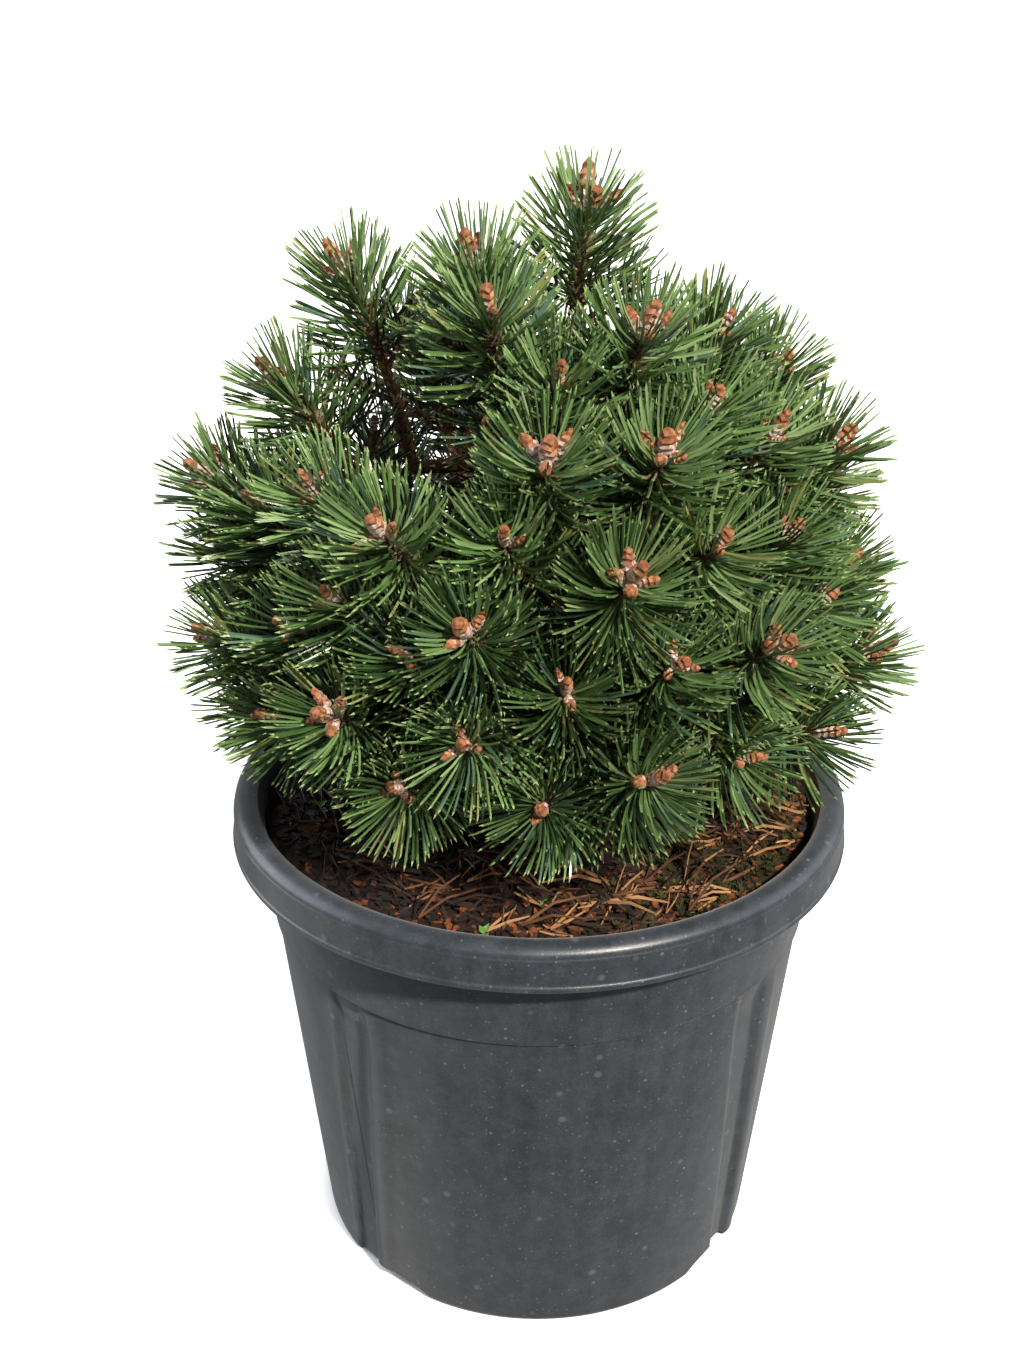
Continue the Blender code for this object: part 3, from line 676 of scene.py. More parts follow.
STEM_FOOT = Vector((0.004, 0.002, SOIL_CROWN + GAP))
STEM_FORK = Vector((0.008, 0.000, 0.272))
FLARE_RADIUS = 0.027
STEM_RADIUS = 0.0150
CROWN_RADIUS = 0.144
CROWN_RISE = 0.190
CROWN_MIDDLE = 0.330
LOWEST_BUD = 0.305
HIGHEST_SIDE_BUD = 0.472
BUD_SPACING = 0.052
SIDE_DEPTH = 0.010
SETTLING_ROUNDS = 12
SETTLING_PUSH = 0.25
SETTLING_PULL = 0.5
FURTHEST_SIDE = 1.15

# Each mass: name, angle of its leader from the front, height of that bud and how far it stands out of the
# egg shape, number of side shoots, turn of the first round the leader and from each to the next
MAIN_MASSES = (
    ("top", 90, 0.5185, 0, 0, 0, 0),
    ("left", -88, 0.402, 0.014, 2, 95, 70),
    ("front_left", -12.4, 0.385, 0.004, 2, 110, 250),
    ("front_right", 40, 0.365, 0.002, 2, 75, 150),
    ("right", 74, 0.426, 0.004, 4, 60, 90),
)
SIDE_MASSES = (
    ("upper_left", -17, 0.492, 0, 0, 0, 0),
    ("upper_right", 27, 0.484, 0, 1, 215, 0),
    ("crest", -30, 0.505, 0, 0, 0, 0),
    ("horn", -98, 0.490, 0.009, 0, 0, 0),
    ("left_high", -87, 0.446, 0, 0, 0, 0),
    ("middle", 0, 0.446, 0, 1, 265, 0),
    ("middle_right", 22.6, 0.446, 0.004, 2, 130, 90),
    ("left_front", -29.5, 0.415, 0, 1, 28, 0),
    ("centre", 13.4, 0.404, 0.004, 1, 330, 0),
    ("low_left", -36.7, 0.338, 0, 3, 137, 100),
    ("low_front", 17, 0.320, 0, 3, 295, 32),
    ("low_right", 78, 0.327, 0.006, 3, 85, 95),
    ("low_left_outer", -78, 0.336, 0.004, 3, 100, 90),
)
# The far side, which repeats by rule: height of the first and last leader, how many, first angle, number of
# side shoots on each, and how much further round they start on each next one
BACK_MAIN_ROW = (0.405, 0.350, 3, 122, 3, 45)
BACK_SIDE_ROWS = ((0.448, 0.440, 2, 148, 2, 285), (0.325, 0.320, 3, 108, 3, 45))
BACK_FAN = 120

BOUGH_RADIUS = 0.0056
LIMB_RADIUS = 0.0042
LIMB_TIP_RADIUS = 0.0032
LIMB_SHARE = 0.60
LIMB_PULL = 0.42
BOUGH_RISE = 0.8
LIMB_AHEAD = 0.7
LOWEST_FORK = 0.42
FORK_DROP = 0.011
FORK_STAGGER = 0.006
STEM_TO_WHORL = 0.010
WHORL_STEP = 0.0013
SHOOT_PULL = 0.45
SHOOT_POINTS = 30
SHOOT_CLEARANCE = 0.0015
SHOOT_TESTS = 25
SHOOT_RADIUS = 0.0026
TIP_RADIUS = 0.0018
UPWARD = 0.65
NEEDLED_LENGTH = 0.040
LEAST_BARE = 0.15
NEEDLE_BANDS = 5
LIMB_POINTS = 5


def on_crown(angle, height, proud=0):
    """A place on the crown's egg shape, or proud of it, at an angle from the front and a height."""
    level = (height - CROWN_MIDDLE) / CROWN_RISE
    reach = CROWN_RADIUS * math.sqrt(max(0, 1 - level * level)) + proud
    turn = math.radians(angle - 90)
    return Vector((reach * math.cos(turn), reach * math.sin(turn), height))


def level_of(point):
    """The reach of the egg shape on which a place lies."""
    return Vector((point.x, point.y, (point.z - CROWN_MIDDLE) * CROWN_RADIUS / CROWN_RISE)).length


def onto_crown(point, reach):
    """Move a side bud's point out or in to the egg shape of a reach, between the heights for side buds."""
    height = min(max(point.z, LOWEST_BUD), HIGHEST_SIDE_BUD)
    offset = Vector((point.x, point.y, (height - CROWN_MIDDLE) * CROWN_RADIUS / CROWN_RISE))
    offset *= reach / offset.length
    return Vector((offset.x, offset.y, CROWN_MIDDLE + offset.z * CROWN_RISE / CROWN_RADIUS))


def outward(point):
    """The direction straight out of the crown at a place on it."""
    rise = (point.z - CROWN_MIDDLE) * (CROWN_RADIUS / CROWN_RISE) ** 2
    return Vector((point.x, point.y, rise)).normalized()


def shoot_axis(point):
    """The direction in which a bud points: out of the crown, and turned up towards the light."""
    return (outward(point) + Vector((0, 0, UPWARD))).normalized()


def mass_plan():
    """Every mass: name, its leader's place, number of side shoots, their turn and fan, and if it is main."""
    rows = [(*row, True) for row in MAIN_MASSES] + [(*row, False) for row in SIDE_MASSES]
    for label, row in zip(("back", "back_high", "back_low"), (BACK_MAIN_ROW, *BACK_SIDE_ROWS)):
        first_height, last_height, count, first, shoots, step = row
        for i in range(count):
            share = i / (count - 1)
            angle = first + (360 - 2 * first) * share
            height = first_height + (last_height - first_height) * share
            name = f"{label}_{i}"
            rows.append((name, angle, height, 0, shoots, step * i, BACK_FAN, row is BACK_MAIN_ROW))
    return [(row[0], on_crown(*row[1:4]), *row[4:]) for row in rows]


def spread_buds(plan):
    """Place each mass's buds: the leader first, then side buds round it, lower than it and settled apart."""
    buds = []
    for index, (_, leader, shoots, turn, fan, _) in enumerate(plan):
        out, reach = outward(leader), level_of(leader) - SIDE_DEPTH
        across = out.cross(Vector((0, 0, 1))).normalized()
        buds.append([index, leader, None])
        for k in range(shoots):
            swing = Quaternion(out, math.radians(turn + fan * k))
            buds.append([index, onto_crown(leader + swing @ across * BUD_SPACING, reach), reach])
    for _ in range(SETTLING_ROUNDS):
        for bud in buds:
            if bud[2] is None:
                continue
            push = Vector()
            for other in buds:
                away = bud[1] - other[1]
                if other is not bud and away.length < BUD_SPACING:
                    push += away.normalized() * (BUD_SPACING - away.length) * SETTLING_PUSH
            home = plan[bud[0]][1] - bud[1]
            push += home.normalized() * max(0, home.length - BUD_SPACING * FURTHEST_SIDE) * SETTLING_PULL
            bud[1] = onto_crown(bud[1] + push, bud[2])
    return [[bud[1] for bud in buds if bud[0] == index] for index in range(len(plan))]


def bend(start, direction, end, pull, count):
    """Points on a curve that leaves start in a direction and bends to its end."""
    middle = start + direction * (end - start).length * pull
    steps = [i / (count - 1) for i in range(count)]
    return [start.lerp(middle, t).lerp(middle.lerp(end, t), t) for t in steps]


def along(points, share):
    """The place and the direction at a share of the way along a line of points."""
    place = share * (len(points) - 1)
    index = min(int(place), len(points) - 2)
    start, end = points[index], points[index + 1]
    return start.lerp(end, place - index), (end - start).normalized()


def shoot_curve(start, bud):
    """A shoot's fine curve, which reaches its bud along the bud's own direction."""
    return bend(bud, -shoot_axis(bud), start, SHOOT_PULL, SHOOT_POINTS)[::-1]


def shoot_course(curve):
    """A shoot's points in the solids: its bare foot, then a point at the end of each band of needles."""
    steps = [(b - a).length for a, b in zip(curve, curve[1:])]
    length = sum(steps)
    bare = max(length - NEEDLED_LENGTH, length * LEAST_BARE)
    marks = [bare + (length - bare) * i / NEEDLE_BANDS for i in range(NEEDLE_BANDS + 1)]
    points, run = [curve[0]], 0
    for a, b, step in zip(curve, curve[1:], steps):
        while marks and run + step >= marks[0] - 0.000001:
            points.append(a.lerp(b, (marks.pop(0) - run) / step))
        run += step
    return points


def limb_plan(plan):
    """Every bough and limb as what bend() takes, less the number of points, and its radius at its foot."""
    stem = (STEM_FORK - STEM_FOOT).normalized()
    main = [i for i, row in enumerate(plan) if row[-1]]
    limbs = {}
    for order, i in enumerate(main):
        end = STEM_FORK.lerp(plan[i][1], LIMB_SHARE)
        if order == 0:
            start, direction = STEM_FORK + stem * GAP, stem
        else:
            flat = Vector((end.x - STEM_FORK.x, end.y - STEM_FORK.y, 0)).normalized()
            direction = (flat + Vector((0, 0, BOUGH_RISE))).normalized()
            lean = BOUGH_RADIUS * direction.z
            start = STEM_FORK + flat * (STEM_RADIUS + GAP + lean + 0.001)
            start.z = STEM_FORK.z - FORK_DROP + FORK_STAGGER * (order % 2)
        limbs[i] = ((start, direction, end, LIMB_PULL), BOUGH_RADIUS)
    side = [i for i in range(len(plan)) if i not in main]
    parents = {i: min(main, key=lambda j: (plan[i][1] - plan[j][1]).length) for i in side}
    family = list(parents.values())
    for order, i in enumerate(side):
        parent = parents[i]
        share = LOWEST_FORK + (1 - LOWEST_FORK) * family[:order].count(parent) / family.count(parent)
        place, ahead = along(bend(*limbs[parent][0], LIMB_POINTS), share)
        end = STEM_FORK.lerp(plan[i][1], LIMB_SHARE)
        across = (end - place) - ahead * (end - place).dot(ahead)
        direction = (across.normalized() + ahead * LIMB_AHEAD).normalized()
        thick = BOUGH_RADIUS + (LIMB_TIP_RADIUS - BOUGH_RADIUS) * share
        start = place + across.normalized() * (thick + LIMB_RADIUS + GAP)
        limbs[i] = ((start, direction, end, LIMB_PULL), LIMB_RADIUS)
    return limbs


def shoot_plan(limb, buds):
    """The curves of a mass's shoots: the leader from the limb's tip, the others from the whorl on it."""
    tip, ahead = along(limb, 1)
    whorl = tip + ahead * (GAP + STEM_TO_WHORL)
    starts = [whorl] + [whorl + ahead * WHORL_STEP * k for k in range(len(buds) - 1)]
    return [shoot_curve(start, bud) for start, bud in zip(starts, buds)]


def segments(points, radii):
    """The straight pieces of a limb as rows: start, end and the larger radius."""
    return np.array([(*a, *b, max(ra, rb)) for a, b, ra, rb in zip(points, points[1:], radii, radii[1:])])


def distances(places, rows):
    """Distance from each of many places to each of many straight pieces."""
    starts, run = rows[:, :3], rows[:, 3:6] - rows[:, :3]
    offset = places[:, None, :] - starts[None]
    share = np.clip((offset * run).sum(-1) / (run * run).sum(-1), 0, 1)
    return np.linalg.norm(offset - share[..., None] * run, axis=-1)


def taper(start, end, count):
    """Evenly stepped radii from a start to an end."""
    return [start + (end - start) * i / (count - 1) for i in range(count)]


def clear_shoots(groups, limbs, feet):
    """Skip each side shoot that would touch a limb or a shoot of another mass, as the solids do."""
    courses = []
    for group, foot in zip(groups, feet):
        lines = [shoot_course(curve) for curve in group]
        courses.append([[foot] + lines[0]] + lines[1:])
    rods = [[segments(points, [SHOOT_RADIUS] * len(points)) for points in group] for group in courses]
    kept = []
    for i, group in enumerate(courses):
        others = np.concatenate([limbs] + [row for j, other in enumerate(rods) if j != i for row in other])
        keep = [0]
        for k in range(1, len(group)):
            places = np.array([along(group[k], share)[0] for share in np.linspace(0.1, 1, SHOOT_TESTS)])
            if (distances(places, others) - others[:, 6]).min() > SHOOT_RADIUS + SHOOT_CLEARANCE:
                keep.append(k)
        rods[i] = [rods[i][k] for k in keep]
        kept.append([groups[i][k] for k in keep])
    return kept


plan = mass_plan()
limbs = limb_plan(plan)
lift = (STEM_FORK - STEM_FOOT).normalized()
stem_line = [STEM_FOOT, STEM_FOOT + Vector((0, 0, 0.004)), STEM_FOOT + Vector((0, 0, 0.012)),
             STEM_FORK - lift * 0.006, STEM_FORK]
stem_girth = [FLARE_RADIUS, FLARE_RADIUS * 0.80, STEM_RADIUS * 1.12, STEM_RADIUS, STEM_RADIUS * 0.8]
coarse = {i: bend(*limb, LIMB_POINTS) for i, (limb, _) in limbs.items()}
solid_rows = [segments(stem_line, stem_girth)]
solid_rows += [segments(coarse[i], taper(limbs[i][1], LIMB_TIP_RADIUS, LIMB_POINTS)) for i in limbs]
groups = [shoot_plan(coarse[i], row) for i, row in enumerate(spread_buds(plan))]
feet = [along(coarse[i], 1)[0] + along(coarse[i], 1)[1] * GAP for i in range(len(plan))]
groups = clear_shoots(groups, np.concatenate(solid_rows), feet)


# The stem, boughs and limbs
# Young pine wood in thin grey brown bark, rough with the scars of old needles in close spirals.
# The stem flares into the mix. Each limb grows out of its bough, and each is one closed, scarred tube.

SCAR_PITCH = 0.0034
SCAR_SPIRALS = (3, 2)
FLARE_RIDGES = 5
BARK_CREASE = 55
STEM_SIDES = 40
STEM_RINGS = 0.0016
STEM_RELIEF = 0.10
STEM_FLARE = 0.12
LIMB_SIDES = 14
LIMB_RINGS = 0.0011
LIMB_RELIEF = 0.20
LIMB_ROOT = 1.6
LIMB_COURSE_POINTS = 24


def spaced(points, step):
    """Points at even steps along a line, as an array, and their distances from its start."""
    line = np.array(points)
    runs = np.concatenate([[0], np.cumsum(np.linalg.norm(np.diff(line, axis=0), axis=1))])
    marks = np.linspace(0, runs[-1], max(3, int(runs[-1] / step) + 1))
    return np.stack([np.interp(marks, runs, line[:, k]) for k in range(3)], axis=1), marks


def barked(points, radii, sides, step, relief, flare=0):
    """A limb's skin as vertices and faces: rings along its line, raised in a lattice of needle scars."""
    line, marks = spaced(points, step)
    girth = np.interp(marks / marks[-1], np.linspace(0, 1, len(radii)), radii)
    ahead = np.gradient(line, axis=0)
    ahead /= np.linalg.norm(ahead, axis=1)[:, None]
    across = np.cross(ahead[0], (0.31, 0.77, 0.55))
    turns = np.arange(sides) / sides
    vertices = []
    for index, (centre, mark) in enumerate(zip(line, marks)):
        across = across - ahead[index] * across.dot(ahead[index])
        across /= np.linalg.norm(across)
        over = np.cross(ahead[index], across)
        rows, places = mark / SCAR_PITCH, turns * math.tau
        rising, falling = (rows + SCAR_SPIRALS[0] * turns) % 1, (rows - SCAR_SPIRALS[1] * turns) % 1
        scar = (1 - np.abs(2 * rising - 1)) * (1 - np.abs(2 * falling - 1))
        ridge = flare * (1 - index / len(line)) ** 2 * np.cos(FLARE_RIDGES * places + 1)
        radius = girth[index] * (1 + relief * (scar - 0.25) + ridge)
        ring = centre + (across * np.cos(places)[:, None] + over * np.sin(places)[:, None]) * radius[:, None]
        vertices += ring.tolist()
    faces = []
    for ring in range(len(line) - 1):
        faces += band(ring * sides, sides)
    last = (len(line) - 1) * sides
    faces += [tuple(range(sides))[::-1], tuple(range(last, last + sides))]
    return vertices, faces


def joined(name, skins):
    """One mesh from many skins."""
    vertices, faces = [], []
    for points, sides in skins:
        first = len(vertices)
        vertices += points
        faces += [tuple(first + k for k in face) for face in sides]
    mesh = bpy.data.meshes.new(name)
    mesh.from_pydata(vertices, [], faces)
    mesh.shade_smooth()
    mesh.set_sharp_from_angle(angle=math.radians(BARK_CREASE))
    return mesh


def young_pine_bark():
    """Young pine bark: matt grey brown with darker furrows and paler scale edges a few millimetres apart."""
    material, tree, shader, place = finish_named("young_pine_bark", 0.9, 1.40)
    flake = mottle(tree, place, 420, 5, 0.7)
    brown = blended(tree, stretched(tree, flake, 0.35, 0.68), "#2b1e16", "#87644b")
    tree.links.new(brown, shader.inputs["Base Color"])
    roughened(tree, shader, flake, 0.7, 0.0008)
    return material


bark = young_pine_bark()
stem_course = [STEM_FOOT - Vector((0, 0, 0.006))] + stem_line
stem_radii = [FLARE_RADIUS * 1.1] + stem_girth
stem_skin = barked(stem_course, stem_radii, STEM_SIDES, STEM_RINGS, STEM_RELIEF, STEM_FLARE)
show("stem_bark", joined("stem_bark", [stem_skin]), "bark", ["trunk"], bark)
for kind, name in (("bough", "boughs_bark"), ("limb", "limbs_bark")):
    skins, nodes = [], []
    for i, (limb, radius) in limbs.items():
        if plan[i][-1] == (kind == "bough"):
            course = bend(*limb, LIMB_COURSE_POINTS)
            course.insert(0, course[0] - limb[1] * radius * LIMB_ROOT)
            radii = taper(radius * 1.1, LIMB_TIP_RADIUS, 6)
            skins.append(barked(course, radii, LIMB_SIDES, LIMB_RINGS, LIMB_RELIEF))
            nodes.append(f"{kind}_{plan[i][0]}")
    show(name, joined(name, skins), "bark", nodes, bark)


# The shoots and twigs
# Each mass is its limb's shoots: this year's wood, 5 mm thick, with finer side twigs below the buds.
# They grow on from the limbs by the plan, and the twigs stay inside the reach of the shoots that bear them.

SHOOT_SIDES = 8
SHOOT_RINGS = 0.0013
SHOOT_RELIEF = 0.22
TWIGS_ON_SHOOT = 2
TWIG_FEET = (0.046, 0.062)
TWIG_LENGTH = 0.026
TWIG_RADIUS = 0.0014
TWIG_LEAN = 52
TWIG_RISE = 0.004
TWIG_PULL = 0.6
TWIG_POINTS = 8
TWIG_SIDES = 6
TWIG_RINGS = 0.0022
TWIG_RELIEF = 0.15
LIP_SIDEROOM = 0.004
LIP_HEADROOM = 0.030
GOLDEN_TURN = 137.5
TWIG_SEED = 21


def frames(curve, shares):
    """Places, directions and one crosswise direction at shares of the way along a curve, as arrays."""
    line, _ = spaced(curve, 0.001)
    index = np.clip(np.array(shares) * (len(line) - 1), 0, len(line) - 1)
    whole = np.arange(len(line))
    ahead = np.gradient(line, axis=0)
    place = np.stack([np.interp(index, whole, line[:, k]) for k in range(3)], axis=1)
    ahead = np.stack([np.interp(index, whole, ahead[:, k]) for k in range(3)], axis=1)
    ahead /= np.linalg.norm(ahead, axis=1)[:, None]
    across = np.cross(ahead, (0.13, 0.21, 0.97))
    across /= np.linalg.norm(across, axis=1)[:, None]
    return place, ahead, across


def curve_length(curve):
    """The length of a line of points."""
    return sum((b - a).length for a, b in zip(curve, curve[1:]))


def side_twigs(curve, random):
    """Fine twigs that leave a shoot below its needles' middle and turn up beside it."""
    length = curve_length(curve)
    twigs = []
    first = random.uniform(0, 360)
    for k in range(TWIGS_ON_SHOOT):
        below = random.uniform(*TWIG_FEET)
        if below > length * 0.9:
            continue
        (place,), (ahead,), (across,) = frames(curve, [1 - below / length])
        swing = Quaternion(Vector(ahead), math.radians(first + k * GOLDEN_TURN))
        lean = math.radians(TWIG_LEAN + random.uniform(-8, 8))
        out = Vector(ahead) * math.cos(lean) + (swing @ Vector(across)) * math.sin(lean)
        reach = TWIG_LENGTH * random.uniform(0.75, 1.1)
        end = Vector(place) + out * reach + Vector((0, 0, TWIG_RISE))
        if end.xy.length < LIP_RADIUS + LIP_SIDEROOM and end.z < POT_HEIGHT + LIP_HEADROOM:
            continue
        twigs.append(bend(Vector(place), out, end, TWIG_PULL, TWIG_POINTS))
    return twigs


random = Random(TWIG_SEED)
twigs = [[twig for curve in group for twig in side_twigs(curve, random)] for group in groups]
skins = []
for i, group in enumerate(groups):
    for k, curve in enumerate(group):
        foot = [feet[i] - (curve[0] - feet[i]).normalized() * 0.002] if k == 0 else []
        radii = [LIMB_TIP_RADIUS if k == 0 else SHOOT_RADIUS, SHOOT_RADIUS, SHOOT_RADIUS, TIP_RADIUS]
        skins.append(barked(foot + curve, radii, SHOOT_SIDES, SHOOT_RINGS, SHOOT_RELIEF))
    skins += [barked(twig, [TWIG_RADIUS, TWIG_RADIUS * 0.8], TWIG_SIDES, TWIG_RINGS, TWIG_RELIEF)
              for twig in twigs[i]]
show("shoots_bark", joined("shoots_bark", skins), "bark", [], bark)


# The needles
# Stiff evergreen needles 3 to 4 cm long, two to a papery sheath, half round and a little bent, in a close
# spiral round each shoot. They are glossy and paler at the tip. Their deep to grass greens are painted light
# and
# shade: duller lower down, on the twigs and along the limbs.

NEEDLE_LENGTH = 0.036
NEEDLE_WIDTH = 0.00128
NEEDLE_THICKNESS = 0.00090
NEEDLE_RINGS = ((0.05, 0.85), (0.52, 1.00), (0.93, 0.88))
NEEDLE_GAP = 0.00025
SHEATH_LENGTH = 0.0035
SHEATH_RADIUS = 0.0012
PAIR_SHAPES = 8
# The stretch from the bud that bears needles, the pairs on it, their length, and how far the nearest and the
# furthest pair lean out, in degrees
SHOOT_ZONE = 0.040
SHOOT_PAIRS = 104
SHOOT_LEANS = (36, 78)
TWIG_ZONE = 0.021
TWIG_PAIRS = 18
TWIG_NEEDLE = NEEDLE_LENGTH * 0.78
TWIG_LEANS = (30, 76)
LIMB_ZONE = 0.085
LIMB_NEEDLE = NEEDLE_LENGTH * 0.9
LIMB_LEANS = (60, 88)
# Points on a limb's line, those on the horn's, whose outer third is bare, and the pairs for each point
LIMB_MARKS = 16
HORN_MARKS = 11
PAIRS_AT_MARK = 6
# The painted light and shade that pick each pair's green: at the lowest height, more for each metre above
# it, less on the twigs, and a low fixed value along the limbs
LOWEST_LIGHT = 0.30
LOWEST_HEIGHT = 0.30
LIGHT_RISE = 0.9
TWIG_SHADE = 0.35
LIMB_LIGHT = -0.15
# The greens, by light, then the number and the share of the blue pairs and of the yellowed ones
GREENS = 6
BLUE_TONE, YELLOW_TONE = 6, 7
BLUE_SHARE = 0.07
BLUE_AND_YELLOW_SHARE = 0.10
NEEDLE_WOBBLE = 0.10
NEEDLE_SEED = 3


def needle_pair(name, spread, bow, twist, home):
    """Two needles from one sheath: three-sided blades that face each other with their flat sides."""
    vertices, faces, parts = [], [], []
    for hand in (-1, 1):
        first = len(vertices)
        for share, width in NEEDLE_RINGS:
            middle = Vector((bow * share * share, hand * (NEEDLE_GAP + spread * share ** 1.2), share))
            middle.z *= NEEDLE_LENGTH
            wring = Matrix.Rotation(hand * twist * share, 3, "Z")
            half = NEEDLE_WIDTH * width / 2
            for x, y in ((-half, 0), (half, 0), (0, hand * NEEDLE_THICKNESS * width)):
                vertices.append(middle + wring @ Vector((x, y, 0)))
        last = len(NEEDLE_RINGS) - 1
        for ring in range(last):
            faces += band(first + 3 * ring, 3)
            parts += [0] * 3
        faces += fan(first + 3 * last, 3, len(vertices)) + [(first, first + 1, first + 2)]
        vertices.append(Vector((bow, hand * (NEEDLE_GAP + spread), NEEDLE_LENGTH)))
        parts += [1, 1, 1, 0]
    first = len(vertices)
    for level, radius in ((-0.0010, SHEATH_RADIUS), (SHEATH_LENGTH, SHEATH_RADIUS * 0.85)):
        for k in range(3):
            turn = math.tau * k / 3
            vertices.append(Vector((radius * math.cos(turn), radius * math.sin(turn), level)))
    faces += band(first, 3) + [(first, first + 1, first + 2), (first + 3, first + 4, first + 5)]
    parts += [2] * 5
    shape_mesh(name, vertices, faces, parts, home)


def needle_rows(curve, zone, count, length, leans, light, random):
    """Pairs in a spiral down a shoot from its bud: foot, aim, side, size and the painted light that picks
    each green.
    """
    whole = curve_length(curve)
    zone = min(zone, whole * 0.95)
    shares = [(k + 0.5) / count for k in range(count)]
    places, aheads, acrosses = frames(curve, [1 - (0.0015 + zone * share) / whole for share in shares])
    first = random.uniform(0, 360)
    rows = []
    for k, share in enumerate(shares):
        ahead = Vector(aheads[k])
        radial = Quaternion(ahead, math.radians(first + k * GOLDEN_TURN)) @ Vector(acrosses[k])
        lean = leans[0] + (leans[1] - leans[0]) * share ** 0.75 + random.gauss(0, 7)
        lean = math.radians(lean)
        aim = ahead * math.cos(lean) + radial * math.sin(lean)
        side = ahead + Vector((0, 0, 0.35)) - radial * 0.2
        foot = Vector(places[k]) + radial * SHOOT_RADIUS * 0.7
        size = length / NEEDLE_LENGTH * random.uniform(0.90, 1.04) * (0.84 + 0.16 * min(1, 3 * share))
        # Pairs nearer the bud get more painted light, and chance adds some
        own_light = light + 0.30 * (1 - share) + random.gauss(0, 0.14)
        rows.append([foot, aim, side, size, own_light])
    return rows


def keep_clear(row):
    """Turn a pair up until it clears the mix and the lip. Gives False where it can't."""
    foot, aim, _, size, _ = row
    for _ in range(9):
        blocked = False
        for share in (0.3, 0.55, 0.8, 1.0):
            place = foot + aim * size * NEEDLE_LENGTH * share
            out = place.xy.length
            if out < COLLAR_TOP_RADIUS - 0.005:
                blocked |= place.z < SOIL_CROWN + 0.002
            elif out < LIP_RADIUS + 0.002:
                blocked |= place.z < POT_HEIGHT + 0.002
        if not blocked:
            row[1] = aim
            return True
        aim = (aim + Vector((0, 0, 0.16))).normalized()
    return False


def pine_needle(name, colour, roughness):
    """A waxy evergreen needle: plain green under a satin cuticle, with fine pores over it."""
    material, tree, shader, place = finish_named(f"pine_needle_{name}", roughness, 1.45)
    shader.inputs["Base Color"].default_value = linear(colour)
    roughened(tree, shader, mottle(tree, place, 900, 1), 0.15, 0.0003)
    return material


def tone_of(light, random):
    """The number of the green for the painted light at a pair, with now and then a blue or yellowed one."""
    chance = random.random()
    if chance < BLUE_SHARE:
        return BLUE_TONE
    if chance < BLUE_AND_YELLOW_SHARE:
        return YELLOW_TONE
    return min(max(int(light * GREENS), 0), GREENS - 1)


# The first six greens, from shade to bright, are one needle green painted as shaded and lit
needle_tones = [pine_needle(*tone) for tone in (
    ("shade", "#0b1207", 0.46), ("deep", "#192610", 0.38), ("dark", "#374e29", 0.31),
    ("mid", "#526e3c", 0.29), ("grass", "#6b8852", 0.29), ("bright", "#86a06a", 0.29),
    ("blue", "#4f6b54", 0.33), ("yellowed", "#828650", 0.40))]
needle_parts = {1: pine_needle("tip", "#8fa269", 0.36),
                2: matt("papery_sheath", "#4a3527", "#8f7a63", 500, 0.8)}
random = Random(NEEDLE_SEED)
pairs_home = bpy.data.collections.new("needle_pairs")
for k in range(PAIR_SHAPES):
    needle_pair(f"pair_{k}", random.uniform(0.0010, 0.0045), random.uniform(0.0020, 0.0080),
                random.uniform(0, 0.9), pairs_home)
needle_groups = (
    ("top", "upper_left", "upper_right", "crest", "horn", "middle", "back_high_0", "back_high_1"),
    ("left", "left_high", "left_front", "low_left_outer"),
    ("front_left", "low_left", "centre", "low_front"),
    ("front_right", "middle_right", "right", "low_right"),
    ("back_0", "back_1", "back_low_0", "back_low_1"),
    ("back_2", "back_low_2"),
)
order = {row[0]: i for i, row in enumerate(plan)}
needle_tree = growth_tree("needle_spiral", needle_tones, needle_parts)
for number, names in enumerate(needle_groups):
    rows = []
    for name in names:
        i = order[name]
        # Painted light: a mass's pairs get paler greens the higher its leader stands
        light = LOWEST_LIGHT + LIGHT_RISE * (plan[i][1].z - LOWEST_HEIGHT)
        for curve in groups[i]:
            spray = light + random.gauss(0, 0.06)
            rows += needle_rows(curve, SHOOT_ZONE, SHOOT_PAIRS, NEEDLE_LENGTH, SHOOT_LEANS, spray, random)
        for twig in twigs[i]:
            shade = light - TWIG_SHADE
            rows += needle_rows(twig, TWIG_ZONE, TWIG_PAIRS, TWIG_NEEDLE, TWIG_LEANS, shade, random)
        limb = bend(*limbs[i][0], LIMB_MARKS)
        if name == "horn":
            limb = limb[:HORN_MARKS]
        pairs = PAIRS_AT_MARK * len(limb)
        rows += needle_rows(limb, LIMB_ZONE, pairs, LIMB_NEEDLE, LIMB_LEANS, LIMB_LIGHT, random)
    rows = [row for row in rows if keep_clear(row)]
    rows = [(*row[:4], random.randrange(PAIR_SHAPES), tone_of(row[4], random)) for row in rows]
    mesh = grown(f"needles_{number}", needle_tree, pairs_home, rows, 1, NEEDLE_WOBBLE, NEEDLE_SEED + number)
    show(f"needles_{number}", mesh, "needles", [f"foliage_{name}" for name in names])


# The buds
# Winter buds in clusters of two to five at each shoot's tip: cones of fringed orange brown scales, the lower
# ones glued with whitish resin. A single small one ends each side twig.

BUD_LENGTH = 0.0125
BUD_RADIUS = 0.0027
BUD_ROWS = 5
BUD_SIDES = 8
BUD_SHAPES = 4
TOP_BUD = 1.55
LEADER_BUD = 1.25
SIDE_BUD = 1.0
TWIG_BUD = 0.62
RESIN_SHARES = (1, 0.9, 0.55, 0.12, 0)
FRINGE_SHARE = 0.35
BUD_WOBBLE = 0.05
BUD_SEED = 17


